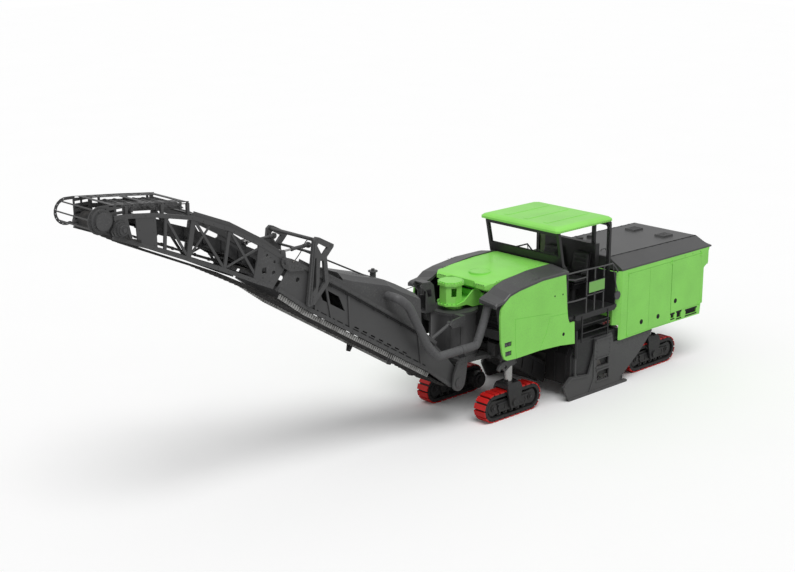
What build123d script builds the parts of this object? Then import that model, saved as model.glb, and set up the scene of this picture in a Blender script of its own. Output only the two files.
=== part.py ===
from build123d import *
import math
import os

os.makedirs("parts", exist_ok=True)

# A cold planer on four crawler units, drawn in millimetres.
# Stations run forward from a datum 2240 behind the front crawlers' centres.
# Y is the machine's left, Z is up, and the ground is Z = 0.

# Driving dimensions
REAR_X = -4230
HEAD_X = 12050
MID_X = (REAR_X + HEAD_X) / 2
HALF_W = 1260
SKIN = 30
PANEL_T = 40
FRONT_TRACK_X = 2240
REAR_TRACK_X = -2490
TRACK_Y = 835

TRACK_LENGTH = 1740
TRACK_HEIGHT = 610
TRACK_WIDTH = 300
PAD_COUNT = 26
PAD_THICK = 52
CHAIN_THICK = 48
COLUMN_R = 90
SLEEVE_R = 165
SEAT = 0.3

DRUM_X = -260
DRUM_Z = 545
DRUM_TIP_R = 510
DRUM_SHELL_R = 425
DRUM_HALF = 1000
PICK_COUNT = 88
SIDE_PLATE_Y = 1172
SIDE_PLATE_T = 42
PLATE_LIFT_X = 500
PLATE_ROD_R = 22

SLEW_X = 3020
SLEW_R = 490
SLEW_TOP = 2330
TAIL_X = 3560
TAIL_Z = 980
TAIL_PIN_R = 45
FOLD_X = 8000
FOLD_Z = 4290
FOLD_PIN_R = 40
BOOM_Y = 600
PLATE_T = 20
BELT_HALF = 400
BELT_T = 14
CLEAT_PITCH = 110
CLEAT_H = 22
HEAD = (11400, 5445)
HEAD_R = 134

LIFT_Y = 490
LIFT_A = (3640, 2200)
LIFT_R = (4750, 1750)
FOLD_Y = 490
FOLD_A = (7340, 4470)
FOLD_R = (8000, 4450)
EYE_R = 55
DUCT_R = 88

FLOOR_Z = 1900
ROOF_Z = 3830
DOOR_TOP = 2500
HINGE_Y = HALF_W + 8
BELT_LINE = 2600


def save(name, *shapes):
    solids = []
    for shape in shapes:
        solids += shape.solids()
    moved = [solid.moved(Location((-MID_X, 0, 0))) for solid in solids]
    export_step(Compound(children=moved), f"parts/{name}.step")


def box(x0, x1, y0, y1, z0, z1):
    return Solid.make_box(x1 - x0, y1 - y0, z1 - z0, Plane((x0, y0, z0)))


def both(low, high, side):
    """A Y span on one side of the machine, low edge first."""
    return sorted((side * low, side * high))


def polygon(points):
    return Wire.make_polygon([Vector(*p) for p in points], close=True)


def prism_y(points, y0, y1, holes=()):
    """A slab between two Y planes from an outline of (x, z) points."""
    outer = polygon([(x, y0, z) for x, z in points])
    inner = [polygon([(x, y0, z) for x, z in hole]) for hole in holes]
    return Solid.extrude(Face(outer, inner), Vector(0, y1 - y0, 0))


def prism_z(points, z0, z1, holes=()):
    """A slab between two Z planes from an outline of (x, y) points."""
    outer = polygon([(x, y, z0) for x, y in points])
    inner = [polygon([(x, y, z0) for x, y in hole]) for hole in holes]
    return Solid.extrude(Face(outer, inner), Vector(0, 0, z1 - z0))


def prism_x(points, x0, x1, holes=()):
    """A slab between two X planes from an outline of (y, z) points."""
    outer = polygon([(x0, y, z) for y, z in points])
    inner = [polygon([(x0, y, z) for y, z in hole]) for hole in holes]
    return Solid.extrude(Face(outer, inner), Vector(x1 - x0, 0, 0))


def rod(start, end, radius):
    start, end = Vector(*start), Vector(*end)
    return Solid.make_cylinder(radius, (end - start).length, Plane(start, z_dir=end - start))


def disc_y(x, z, radius, y0, y1):
    return rod((x, y0, z), (x, y1, z), radius)


def disc_z(x, y, radius, z0, z1):
    return rod((x, y, z0), (x, y, z1), radius)


def tube_path(points, radius):
    """A bent bar: cylinders with a ball at each bend."""
    bar = [rod(points[0], points[1], radius)]
    for i in range(1, len(points) - 1):
        bar.append(Pos(*points[i]) * Solid.make_sphere(radius, angle1=-90, angle2=90, angle3=360))
        bar.append(rod(points[i], points[i + 1], radius))
    return fuse(bar)


def fuse(shapes):
    shapes = list(shapes)
    return shapes[0].fuse(*shapes[1:]) if len(shapes) > 1 else shapes[0]


def window(x0, x1, z0, z1):
    """A rectangular hole's outline for a prism_y slab."""
    return [(x0, z0), (x1, z0), (x1, z1), (x0, z1)]


def ring_points(x, z, radius, count=20):
    """A round hole's outline for a prism_y slab."""
    return [(x + radius * math.cos(2 * math.pi * i / count), z + radius * math.sin(2 * math.pi * i / count))
            for i in range(count)]


def offset_lines(points, distances, closed=True):
    """Moves each edge of an outline to its left by its own distance and rejoins the corners."""
    count = len(points)
    edges = count if closed else count - 1
    lines = []
    for i in range(edges):
        (x0, z0), (x1, z1) = points[i], points[(i + 1) % count]
        size = math.hypot(x1 - x0, z1 - z0)
        nx, nz = -(z1 - z0) / size, (x1 - x0) / size
        d = distances[i]
        lines.append(((x0 + nx * d, z0 + nz * d), ((x1 - x0) / size, (z1 - z0) / size)))

    def meet(a, b):
        (ax, az), (ux, uz) = a
        (bx, bz), (vx, vz) = b
        cross = ux * vz - uz * vx
        if abs(cross) < 1e-6:
            return (bx, bz)
        t = ((bx - ax) * vz - (bz - az) * vx) / cross
        return (ax + ux * t, az + uz * t)

    if closed:
        return [meet(lines[i - 1], lines[i]) for i in range(count)]
    out = [lines[0][0]]
    for i in range(1, edges):
        out.append(meet(lines[i - 1], lines[i]))
    (x0, z0), (ux, uz) = lines[-1]
    size = math.hypot(points[-1][0] - points[-2][0], points[-1][1] - points[-2][1])
    out.append((x0 + ux * size, z0 + uz * size))
    return out


def strip(points, width):
    """The outline of a bent bar of one width along a line of points."""
    n = len(points) - 1
    left = offset_lines(points, [width / 2] * n, closed=False)
    right = offset_lines(points, [-width / 2] * n, closed=False)
    return left + right[::-1]


def member(a, b, width, y0, y1):
    """One straight bar of a truss."""
    return prism_y(strip([a, b], width), y0, y1)


def cleated(points, thickness, pitch, height, side):
    """The outline of a belt along a line of points, with cleats on its long runs at one side."""
    n = len(points) - 1
    plain = offset_lines(points, [-side * thickness / 2] * n, closed=False)
    line = offset_lines(points, [side * thickness / 2] * n, closed=False)
    outer = []
    for (x0, z0), (x1, z1) in zip(line, line[1:]):
        outer.append((x0, z0))
        size = math.hypot(x1 - x0, z1 - z0)
        ux, uz = (x1 - x0) / size, (z1 - z0) / size
        count = int(size / pitch)
        for i in range(count if count > 1 else 0):
            middle = size * (i + 0.5) / count
            for along, out in ((-18, 0), (-12, height), (12, height), (18, 0)):
                s = middle + along
                outer.append((x0 + ux * s - side * uz * out, z0 + uz * s + side * ux * out))
    outer.append(line[-1])
    return outer + plain[::-1]


def arc_points(cx, cz, radius, start, end, count):
    out = []
    for i in range(count + 1):
        a = math.radians(start + (end - start) * i / count)
        out.append((cx + radius * math.cos(a), cz + radius * math.sin(a)))
    return out


def wrap_points(cx, cz, radius, start, end, count):
    """Corners of a line of chords that stays outside a circle, touching it between the corners."""
    half = math.radians(abs(end - start) / count / 2)
    return arc_points(cx, cz, radius / math.cos(half), start, end, count)


# Crawler units
TRACK_R = TRACK_HEIGHT / 2
TRACK_STRAIGHT = TRACK_LENGTH - TRACK_HEIGHT


def stadium_point(s, radius):
    """A point on the loop at distance s along its pitch line, moved out to the radius."""
    half = TRACK_STRAIGHT / 2
    arc = math.pi * TRACK_R
    total = 2 * (TRACK_STRAIGHT + arc)
    s = s % total
    if s < TRACK_STRAIGHT:
        return (-half + s, TRACK_R - radius)
    s -= TRACK_STRAIGHT
    if s < arc:
        a = s / TRACK_R - math.pi / 2
        return (half + radius * math.cos(a), TRACK_R + radius * math.sin(a))
    s -= arc
    if s < TRACK_STRAIGHT:
        return (half - s, TRACK_R + radius)
    a = (s - TRACK_STRAIGHT) / TRACK_R + math.pi / 2
    return (-half + radius * math.cos(a), TRACK_R + radius * math.sin(a))


def track_loop():
    total = 2 * (TRACK_STRAIGHT + math.pi * TRACK_R)
    pitch = total / PAD_COUNT
    band = TRACK_R - PAD_THICK
    outline = []
    for i in range(PAD_COUNT):
        for s, r in ((0.09, band), (0.14, TRACK_R), (0.86, TRACK_R), (0.91, band)):
            outline.append(stadium_point((i + s) * pitch, r))
    inner_r = band - CHAIN_THICK
    half = TRACK_STRAIGHT / 2
    inner = wrap_points(half, TRACK_R, inner_r, -81, 81, 9)
    inner += wrap_points(-half, TRACK_R, inner_r, 99, 261, 9)
    return prism_y(outline, -TRACK_WIDTH / 2, TRACK_WIDTH / 2, [inner])


def track_frame(side):
    """Roller frame with its end wheels and rollers, the drive motor inboard and the saddle over the track."""
    half = TRACK_STRAIGHT / 2
    wheel_r = TRACK_R - PAD_THICK - CHAIN_THICK - SEAT
    outline = arc_points(half, TRACK_R, wheel_r - 40, -75, 75, 6)
    outline += [(half - 140, TRACK_R + wheel_r - 70), (-half + 140, TRACK_R + wheel_r - 70)]
    outline += arc_points(-half, TRACK_R, wheel_r - 40, 105, 255, 6)
    outline += [(-half + 120, 175), (half - 120, 175)]
    shapes = [prism_y(outline, -118, 118)]
    case = [(-400, 190), (-455, 290), (-400, 392), (400, 392), (455, 290), (400, 190)]
    shapes.append(prism_y(case, -146, 146))
    for x in (-half, half):
        shapes.append(disc_y(x, TRACK_R, wheel_r, -70, 70))
        shapes.append(disc_y(x, TRACK_R, 78, -140, 140))
        shapes.append(disc_y(x, TRACK_R, 40, -158, 158))
    for x in (-380, -190, 0, 190, 380):
        shapes.append(disc_y(x, TRACK_R - wheel_r + 55, 55, -100, 100))
        shapes.append(disc_y(x, TRACK_R - wheel_r + 55, 24, -132, 132))
    shapes.append(disc_y(-half, TRACK_R, 188, -side * 105, -side * 330))
    shapes.append(disc_y(-half, TRACK_R, 150, -side * 330, -side * 372))
    shapes.append(disc_y(-half, TRACK_R, 80, -side * 372, -side * 400))
    skid = prism_y(strip([(-470, 372), (470, 372)], 34), -150, 150)
    shapes.append(skid)
    arch = [(-212, 200), (-212, 640), (-165, 745), (165, 745), (212, 640), (212, 200), (166, 200), (166, 640),
            (-166, 640), (-166, 200)]
    leg = [(-165, 760), (-205, 700), (-215, 560), (-150, 300), (-110, 215), (110, 215), (150, 300),
           (215, 560), (205, 700), (165, 760)]
    saddle = prism_x(arch, -220, 220) & prism_y(leg, -230, 230)
    shapes.append(saddle)
    for y in (212, -242):
        shapes.append(disc_y(0, TRACK_R + 20, 78, y, y + 30))
    shapes.append(disc_y(0, TRACK_R + 20, 70, -225, 225))
    for x in (-150, 130):
        shapes.append(prism_y([(x, 735), (x + 20, 735), (x + 20, 775), (x, 775)], -110, 110))
    body = fuse(shapes)
    panel = [(-370, 230), (-240, 230), (-240, 352), (-370, 352), (-400, 290)]
    for low in (136, -156):
        for flip in (1, -1):
            pocket = [(flip * x, z) for x, z in panel]
            body = body - prism_y(pocket, low, low + 20)
    return body


def place(shape, x, y):
    return shape.moved(Location((x, y, 0)))


UNITS = (
    ("fl", FRONT_TRACK_X, TRACK_Y, 1),
    ("fr", FRONT_TRACK_X, -TRACK_Y, -1),
    ("rl", REAR_TRACK_X, TRACK_Y, 1),
    ("rr", REAR_TRACK_X, -TRACK_Y, -1),
)
loop = track_loop()
frames = {1: track_frame(1), -1: track_frame(-1)}
for tag, x, y, side in UNITS:
    save(f"track_{tag}", place(loop, x, y))
    save(f"yoke_{tag}", place(frames[side], x, y))
    column = disc_z(0, 0, COLUMN_R, 745 + SEAT, 1480)
    save(f"column_{tag}", place(column, x, y))

# Main frame with the leg sleeves, cross beams, slewing bracket and tow hooks
frame_parts = []
for side in (1, -1):
    frame_parts.append(box(-3800, 2470, *both(450, 670, side), 1300, 1560))
frame_parts.append(box(2110, 2490, -1060, 1060, 1660, 1860))
frame_parts.append(box(-2680, -2300, -1060, 1060, 1300, 1600))
for x in (-1350, 560):
    frame_parts.append(box(x - 80, x + 80, -1130, 1130, 1300, 1560))
frame_parts.append(box(-3920 + SEAT, -3750, -HALF_W + SKIN + SEAT, HALF_W - SKIN - SEAT, 1290, 1620))
bracket = [(2450, -460), (2300, -460), (2300, -600), (2545, -600), (2560, -520), (2800, -480), (3020, -470),
           (3220, -425), (3380, -300), (3460, -150), (3490, 0)]
bracket = bracket + [(x, -y) for x, y in bracket[-2::-1]]
frame_parts.append(prism_z(bracket, 1240, 1320))
for tag, x, y, side in UNITS:
    frame_parts.append(disc_z(x, y, SLEEVE_R, 1160, 1700 if x > 0 else 1640))
    frame_parts.append(disc_z(x, y, SLEEVE_R + 10, 1160, 1200))
    if x > 0:
        frame_parts.append(box(x - 100, x + 100, *both(560, 800, side), 1300, 1560))
    for turn in (45, 135, 225, 315):
        fin = Location((x, y, 0), (0, 0, turn))
        frame_parts.append(prism_y([(120, 1200), (SLEEVE_R + 20, 1200), (SLEEVE_R + 4, 1420), (120, 1420)],
                                   -8, 8).moved(fin))
frame_parts.append(box(2560, 2584, -440, 440, 1190, 1250))
frame = fuse(frame_parts)
for tag, x, y, side in UNITS:
    frame = frame - disc_z(x, y, COLUMN_R + SEAT, 1100, 1500)
frame = frame - disc_z(SLEW_X, 0, SLEW_R - 100, 1200, 1400)
save("main_frame", frame)

HOOK_Y = 1040
HOOK_EYE = (2600, 1190)
hook = [(2450, 1330), (2700, 1300), (2800, 1230), (2830, 1160), (2780, 1120), (2740, 1170), (2690, 1180),
        (2660, 1120), (2600, 1090), (2540, 1130), (2450, 1180)]
hooks = []
for side in (1, -1):
    y0, y1 = both(HOOK_Y, HOOK_Y + 50, side)
    post = box(2330, 2470, *both(HOOK_Y - 30, HOOK_Y + 50, side), 1180, 1660)
    hooks.append(fuse([prism_y(hook, y0, y1), post]) - disc_y(*HOOK_EYE, 36, y0 - 5, y1 + 5))
save("tow_hooks", *hooks)

# Engine, drawn as one plain block at its real place and size
save("engine_block", box(-3350, -1750, -480, 480, 1600 + SEAT, 2380))

# Rear body shell: frames around the doors, chamfered front corners, the front and rear walls
DOOR_TABLE = (
    # name, low x, high x, bottom z, hinge at the high end, lock x, lock z
    ("a", -1927, -1155, 1085, True, -1670, 1310),
    ("b", -2732, -1933, 1085, False, -2280, 1310),
    ("c", -3850, -2748, 1290, False, -2910, 1550),
)
KNUCKLE_R = 7.5
CORNER_X = -930
FRONT_WALL = -780
shell_side = [(CORNER_X, 1040), (CORNER_X, BELT_LINE), (-4150, BELT_LINE), (-4110, 2480), (-4110, 2240),
              (-3950, 2140), (-3905, 1290), (-3880, 1050), (-2150, 1060), (-1000, 1040)]
door_holes = [[(-2741, 1284), (-2741, 1079), (-1149, 1079), (-1149, DOOR_TOP + 6), (-3856, DOOR_TOP + 6),
               (-3856, 1284)]]
VENTS = (
    # low x, high x, low z, high z
    (-3740, -3330, 1120, 1225), (-3150, -2990, 1120, 1250), (-2890, -2765, 1150, 1240),
)
vents = [[(x0, z0), (x1, z0 + 8), (x1, z1), (x0, z1)] for x0, x1, z0, z1 in VENTS]
PLATE_RAISED = 1385
HINGE_BAR = 2585
HINGE_BAR_X = -4185
shell_parts = []
for side in (1, -1):
    shell_parts.append(prism_y(shell_side, *both(HALF_W - SKIN, HALF_W, side), door_holes + vents))
    corner = [(CORNER_X - 2, HALF_W), (FRONT_WALL, HALF_W - 130), (FRONT_WALL, HALF_W - 180),
              (FRONT_WALL - 30, HALF_W - 180), (FRONT_WALL - 30, HALF_W - 142), (CORNER_X - 2, HALF_W - SKIN)]
    shell_parts.append(prism_z([(x, side * y) for x, y in corner], PLATE_RAISED, BELT_LINE))
    low_corner = [(CORNER_X - 2, HALF_W), (CORNER_X + 38, HALF_W - 36), (CORNER_X - 2, HALF_W - 36)]
    shell_parts.append(prism_z([(x, side * y) for x, y in low_corner], 1040, PLATE_RAISED + 5))
    for tag, x0, x1, z0, at_front, lock_x, lock_z in DOOR_TABLE:
        hinge_x = x1 if at_front else x0
        for za, zb in ((z0 - 25, z0 - SEAT), (DOOR_TOP + SEAT, DOOR_TOP + 40)):
            shell_parts.append(disc_z(hinge_x, side * HINGE_Y, KNUCKLE_R, za, zb))
            shell_parts.append(box(hinge_x - 6, hinge_x + 6, *both(HALF_W - 2, HINGE_Y, side), za, zb))
    lug = [(-4100, 2570), (-4170, 2560), (-4192, 2568), (-4201, 2577), (-4199, 2590), (-4150, 2598),
           (-4100, 2600)]
    shell_parts.append(prism_y(lug, *both(700, 730, side)))
wall = [(-(HALF_W - 150), 1560 + SEAT), (HALF_W - 150, 1560 + SEAT), (HALF_W - 150, BELT_LINE),
        (-(HALF_W - 150), BELT_LINE)]
shell_parts.append(prism_x(wall, FRONT_WALL - 40, FRONT_WALL))
shell_parts.append(box(-4120, -4080, -HALF_W, HALF_W, 2240, BELT_LINE))
rear_low = box(-3960, -3920, -HALF_W, HALF_W, 1300, 2240) - box(-3970, -3900, -850, 850, 1420, 2120)
shell_parts.append(rear_low)
shell_parts.append(box(-4110, -3920, -HALF_W, HALF_W, 2210, 2250))
rear_shell = fuse(shell_parts)
for side in (1, -1):
    rear_shell = rear_shell - disc_y(HINGE_BAR_X, HINGE_BAR, 9 + SEAT, *both(690, 740, side))
save("rear_shell", rear_shell)

GRILLE_HALF = 850 - SEAT
z0, z1 = 1420 + SEAT, 2120 - SEAT
grille_parts = [box(-3955, -3925, -GRILLE_HALF, GRILLE_HALF, z0, z0 + 50),
                box(-3955, -3925, -GRILLE_HALF, GRILLE_HALF, z1 - 50, z1)]
for y in (-GRILLE_HALF, -20, GRILLE_HALF - 40):
    grille_parts.append(box(-3955, -3925, y, y + 40, z0, z1))
slat = [(-3952, 0), (-3946, -3), (-3928, 26), (-3934, 29)]
for i in range(13):
    z = 1486 + i * 44
    grille_parts.append(prism_y([(x, z + dz) for x, dz in slat], -GRILLE_HALF + 20, GRILLE_HALF - 20))
save("rear_grille", fuse(grille_parts))

# Doors, each with a hinge knuckle at its top and bottom corner and a round recessed lock
for tag, x0, x1, z0, at_front, lock_x, lock_z in DOOR_TABLE:
    hinge_x = x1 if at_front else x0
    inward = -1 if at_front else 1
    for side, letter in ((1, "l"), (-1, "r")):
        leaf = [box(x0, x1, *both(HALF_W - SKIN + 2, HALF_W + 2, side), z0, DOOR_TOP)]
        for za, zb in ((z0, z0 + 60), (DOOR_TOP - 60, DOOR_TOP)):
            leaf.append(disc_z(hinge_x, side * HINGE_Y, KNUCKLE_R, za, zb))
            ends = sorted((hinge_x, hinge_x + inward * 60))
            leaf.append(box(*ends, *both(HALF_W, HINGE_Y, side), za, zb))
        door = fuse(leaf)
        door = door - disc_y(lock_x, lock_z, 44, *both(HALF_W - 8, HALF_W + 20, side))
        door = door + disc_y(lock_x, lock_z, 28, *both(HALF_W - 10, HALF_W, side))
        save(f"door_{letter}{tag}", door)

# Rear hood: a shell open below with sloped ends, louvred vents, an exhaust outlet and its hinge lugs
HOOD_STATIONS = (
    # x, outer edge height, ridge height
    (-4228, 2632, 2700), (-4130, 2640, 2815), (-960, 2640, 2862), (-925, 2640, 2850),
)


def hood_wire(x, low, edge, ridge, inset):
    w, r = HALF_W - 5 - inset, 880 - inset * 0.4
    return polygon([(x, -w, low), (x, -w, edge), (x, -r, ridge), (x, r, ridge), (x, w, edge), (x, w, low)])


outer = [hood_wire(x, BELT_LINE + SEAT, edge, ridge, 0) for x, edge, ridge in HOOD_STATIONS]
inner_stations = [(x + dx, edge, ridge) for (x, edge, ridge), dx in zip(HOOD_STATIONS, (30, 4, -4, -30))]
inner = [hood_wire(x, BELT_LINE - 10, edge - 22, ridge - 30, 30) for x, edge, ridge in inner_stations]
hood = Solid.make_loft(outer, ruled=True) - Solid.make_loft(inner, ruled=True)
hood_parts = [hood]
for y in (-560, 300):
    base = [(-3300, 2810), (-3680, 2804), (-3660, 2868), (-3320, 2874)]
    hood_parts.append(prism_y(base, y, y + 260))
hood_parts.append(rod((-1650, -560, 2820), (-1650, -560, 2925), 85))
hood_parts.append(rod((-2000, -560, 2820), (-2000, -560, 2905), 60))
for side in (1, -1):
    lug = [(-4215, 2625), (-4215, 2580), (-4198, 2572), (-4172, 2572), (-4160, 2585), (-4160, 2604),
           (-4190, 2625)]
    hood_parts.append(prism_y(lug, *both(670, 700 - SEAT, side)))
    hood_parts.append(disc_y(HINGE_BAR_X, HINGE_BAR, 9, *both(680, 738, side)))
hood = fuse(hood_parts)
hood = hood - rod((-1650, -560, 2860), (-1650, -560, 2940), 75)
for y in (-560, 300):
    for i in range(6):
        x = -3640 + i * 52
        hood = hood - box(x, x + 26, y + 25, y + 235, 2852, 2890)
save("rear_hood", hood)

# Front side panels, each with its service flap's seam, a lock and two lamp recesses
panel = [(2460, 1385), (2750, 1400), (2830, 1440), (2890, 1560), (2940, 1780), (2965, 2100), (2975, 2350),
         (2955, 2500), (2860, 2620), (2690, 2735), (2410, 2800), (1700, 2880), (970, 2880), (900, 2140),
         (860, 1900), (800, 1780), (650, 1790), (620, 1300), (1100, 1360), (1740, 1395)]
LAMP_POCKETS = (
    # low x, high x, low z, high z
    (2625, 2835, 1690, 1790), (2620, 2810, 1490, 1595),
)
pockets = [window(*row) for row in LAMP_POCKETS]
seam = strip([(1770, 1380), (1560, 1730), (1440, 2060), (870, 2030)], 9)
lower_seam = strip([(2470, 1370), (2520, 1800), (2530, 2230), (1440, 2130)], 9)
panels = []
for side in (1, -1):
    skin = prism_y(panel, *both(HALF_W - PANEL_T, HALF_W, side), pockets)
    for groove in (seam, lower_seam):
        skin = skin - prism_y(groove, *both(HALF_W - 6, HALF_W + 5, side))
    skin = skin - disc_y(1000, 1590, 30, *both(HALF_W - 10, HALF_W + 5, side))
    skin = skin + disc_y(1000, 1590, 19, *both(HALF_W - 12, HALF_W - 2, side))
    panels.append(skin)
save("front_panels", *panels)
lamp_boxes = []
for side in (1, -1):
    for ax, bx, az, bz in LAMP_POCKETS:
        y0, y1 = both(HALF_W - PANEL_T + SEAT, HALF_W - 22, side)
        body = box(ax + SEAT, bx - SEAT, y0, y1, az + SEAT, bz - SEAT)
        for x in (ax + 52, bx - 52):
            body = body + disc_y(x, (az + bz) / 2, 40, *both(HALF_W - 24, HALF_W - 12, side))
        lamp_boxes.append(body)
save("lamps", *lamp_boxes)

# Shoulder covers: a curved band over each side panel with a capped front end, and the leg below it
SHOULDER = (
    # station, outer edge height, inner edge height, thickness
    (3120, 2632, 2684, 84), (3070, 2660, 2715, 62), (2860, 2690, 2780, 68), (2690, 2800, 2870, 60),
    (2410, 2862, 2942, 60), (1700, 2942, 3020, 60), (970, 2942, 3030, 60), (880, 2935, 3010, 55),
)
SHOULDER_IN = 800


def shoulder(side):
    sections = []
    for x, zo, zi, t in SHOULDER:
        sections.append(polygon([(x, side * (HALF_W + 2), zo - t + SEAT), (x, side * (HALF_W + 2), zo - 16),
                                 (x, side * (HALF_W - 18), zo), (x, side * SHOULDER_IN, zi),
                                 (x, side * SHOULDER_IN, zi - t + SEAT)]))
    cover = Solid.make_loft(sections, ruled=True)
    leg = [(2850, 2640), (2900, 2560), (2890, 2420), (2820, 2100), (2700, 1740), (2590, 1700), (2560, 1760),
           (2680, 2100), (2720, 2400), (2700, 2640), (2700, 2760)]
    leg_solid = prism_y(leg, *both(1060, HALF_W - PANEL_T - SEAT, side))
    return fuse([cover, leg_solid])


save("shoulder_covers", shoulder(1), shoulder(-1))

# Tank body and the centre hood above it
TANK_HALF = HALF_W - PANEL_T - SEAT
body_low = [(2500, 1860 + SEAT), (2500, 2640), (2420, 2730), (2330, 2790), (990, 2850), (895, 1860 + SEAT)]
tank = prism_y(body_low, -TANK_HALF, TANK_HALF)
for side in (1, -1):
    recess = box(2410, 2520, *both(380, 1030, side), 1840, 2560)
    tank = tank - recess
    for z in (1990, 2120, 2250):
        tank = tank + rod((2400, side * 420, z), (2400, side * 990, z), 26)
    tank = tank + box(2405, 2470, *both(760, 980, side), 2320, 2520)
save("tank_body", tank)
hood_top = [(2830, 2862), (2780, 2892), (2740, 2912), (2250, 2962), (1630, 3002), (1010, 3010), (880, 3000)]
hood_foot = [(880, 2850 + SEAT), (990, 2850 + SEAT), (2330, 2790 + SEAT), (2420, 2730 + SEAT),
             (2500, 2640 + SEAT), (2560, 2690), (2700, 2760), (2830, 2785)]
plan = [(880, -785), (2690, -785), (2830, -690), (2830, -430), (2770, -320), (2770, 320), (2830, 430),
        (2830, 690), (2690, 785), (880, 785)]
centre = prism_y(hood_top + hood_foot, -800, 800) & prism_z(plan, 2600, 3100)
LID = (2290, 40)
centre = centre + disc_z(*LID, 235, 2930, 2975)
centre = centre - (disc_z(*LID, 215, 2968, 2990) - disc_z(*LID, 205, 2960, 2995))
for x in (1130, 1240, 1350, 1460, 1570):
    centre = centre - disc_z(x, 640, 14, 2990, 3030)
save("centre_hood", centre)

# Nose: an eight-sided housing over the slewing bearing with a flat cap, side windows, flange and gussets
NOSE_X = SLEW_X + 100


def octagon(radius, cx=NOSE_X, cy=0):
    r = radius / math.cos(math.pi / 8)
    return [(cx + r * math.cos(math.pi / 4 * i + math.pi / 8),
             cy + r * math.sin(math.pi / 4 * i + math.pi / 8))
            for i in range(8)]


nose_parts = [prism_z(octagon(265), 2850, 2905), prism_z(octagon(235), 2905, 2925)]
drum_top = prism_z(octagon(225), 2430, 2860) - prism_z(octagon(205), 2470, 2840)
nose_parts.append(drum_top)
nose_parts.append(prism_z(octagon(265), 2425, 2460))
nose_parts.append(disc_z(SLEW_X, 0, 180, SLEW_TOP + SEAT, 2430))
gusset = [(NOSE_X + 100, 2425), (NOSE_X + 100, 2470), (3010, 2510), (2740, 2700), (2620, 2712),
          (2500 + SEAT, 2600), (2500 + SEAT, SLEW_TOP + 15), (2760, SLEW_TOP + 15), (2880, 2400),
          (2960, 2425)]
for side in (1, -1):
    nose_parts.append(prism_y(gusset, *both(255, 290, side)))
nose_parts.append(box(2500 + SEAT, NOSE_X - 120, -290, 290, 2440, 2475))
nose_parts.append(box(2500 + SEAT, 2540, -360, 360, SLEW_TOP + 15, 2600))
nose = fuse(nose_parts)
nose = nose - box(NOSE_X + 45, NOSE_X + 150, -400, 400, 2620, 2800)
save("nose", nose)

# Platform: floor, front and rear walls, the curved step recess and a rung frame at each side
BULKHEAD_TOP = 3160
RUNG_Y0 = SIDE_PLATE_Y + SIDE_PLATE_T + 23
platform_parts = [
    box(-775, 610, -1250, 1250, FLOOR_Z - 60, FLOOR_Z),
    box(600, 870, -1210, 1210, FLOOR_Z - 60, FLOOR_Z),
    box(830, 875, -1200, 1200, FLOOR_Z, 2840),
    box(-775, -735, -1215, 1215, FLOOR_Z, 2600),
    box(-775, -640, -720, 720, FLOOR_Z, BULKHEAD_TOP),
    box(-700, 860, -700, 700, 1560 + SEAT, FLOOR_Z - 60),
    box(610, 700, -1035, -965, FLOOR_Z, 2850 - SEAT),
    box(610, 700, 965, 1035, FLOOR_Z, 2850 - SEAT),
]
for side in (1, -1):
    edge = [(-775, 1840), (-700, 1780), (560, 1780), (640, 1840)]
    platform_parts.append(prism_y(edge, *both(1215, 1250, side)))
    for x in (-500, 370):
        platform_parts.append(box(x, x + 30, *both(RUNG_Y0, RUNG_Y0 + 26, side), 1262, 1850))
    for z in (1270, 1460, 1650):
        platform_parts.append(rod((-490, side * (RUNG_Y0 + 13), z), (390, side * (RUNG_Y0 + 13), z), 12))
save("platform", fuse(platform_parts))

# Guard rails, the gate's posts with a blank sign plate, and a mirror on its arm
rail_sets = []
for side in (1, -1):
    y = side * 1225
    top = [(962, y, 2862), (670, y, 2860), (240, y, 2850), (-330, y, 2830), (-620, y, 2830), (-800, y, 2640),
           (-800, y, BELT_LINE + SEAT)]
    parts = [tube_path(top, 17)]
    parts.append(tube_path([(898, y, 2244), (640, y, 2230), (240, y, 2230)], 17))
    parts.append(tube_path([(875, y, 2745), (630, y, 2690), (240, y, 2690)], 14))
    for x in (240, -30, -330):
        parts.append(rod((x, y, FLOOR_Z), (x, y, 2840), 17))
    parts.append(rod((-330, y, 2270), (240, y, 2270), 14))
    parts.append(box(-345, 185, *both(1234, 1244, side), 2320, 2565))
    arm = [(-620, y, 2830), (-720, side * 1240, 2400), (-790, side * 1246, 2180)]
    parts.append(tube_path(arm, 11))
    parts.append(disc_y(-790, 2090, 95, *both(1232, 1262, side)))
    rail_sets.append(fuse(parts))
save("guard_rails", *rail_sets)

# Operator's station
console = [(560, 2500), (825, 2500), (825, 2640), (760, 2655), (600, 2590), (560, 2560)]
station_parts = [prism_y(console, -700, 700), box(600, 820, -500, 500, FLOOR_Z + SEAT, 2510)]
for y in (-430, 0, 430):
    lever = [(640, y, 2590), (630, y, 2700), (600, y, 2760)]
    station_parts.append(tube_path(lever, 14))
for side in (1, -1):
    grip = [(700, side * 470, 2600), (690, side * 470, 2780), (700, side * 380, 2830),
            (700, side * 260, 2780), (700, side * 240, 2600)]
    station_parts.append(tube_path(grip, 14))
save("operator_station", fuse(station_parts))
seat_parts = []
cushion = [(-480, 2345), (-470, 2440), (-120, 2450), (-60, 2410), (-60, 2345)]
back = [(-470, 2345), (-500, 2430), (-590, 2900), (-570, 2970), (-510, 2970), (-480, 2900), (-400, 2440),
        (-400, 2345)]
seat_parts.append(prism_y(cushion, -240, 240))
seat_parts.append(prism_y(back, -225, 225))
seat_parts.append(box(-420, -130, -110, 110, 2300, 2350))
seat_parts.append(box(-360, -180, -80, 80, FLOOR_Z + SEAT, 2310))
for side in (1, -1):
    seat_parts.append(box(-470, -200, *both(245, 300, side), 2560, 2600))
    seat_parts.append(box(-480, -440, *both(215, 275, side), 2380, 2600))
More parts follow.
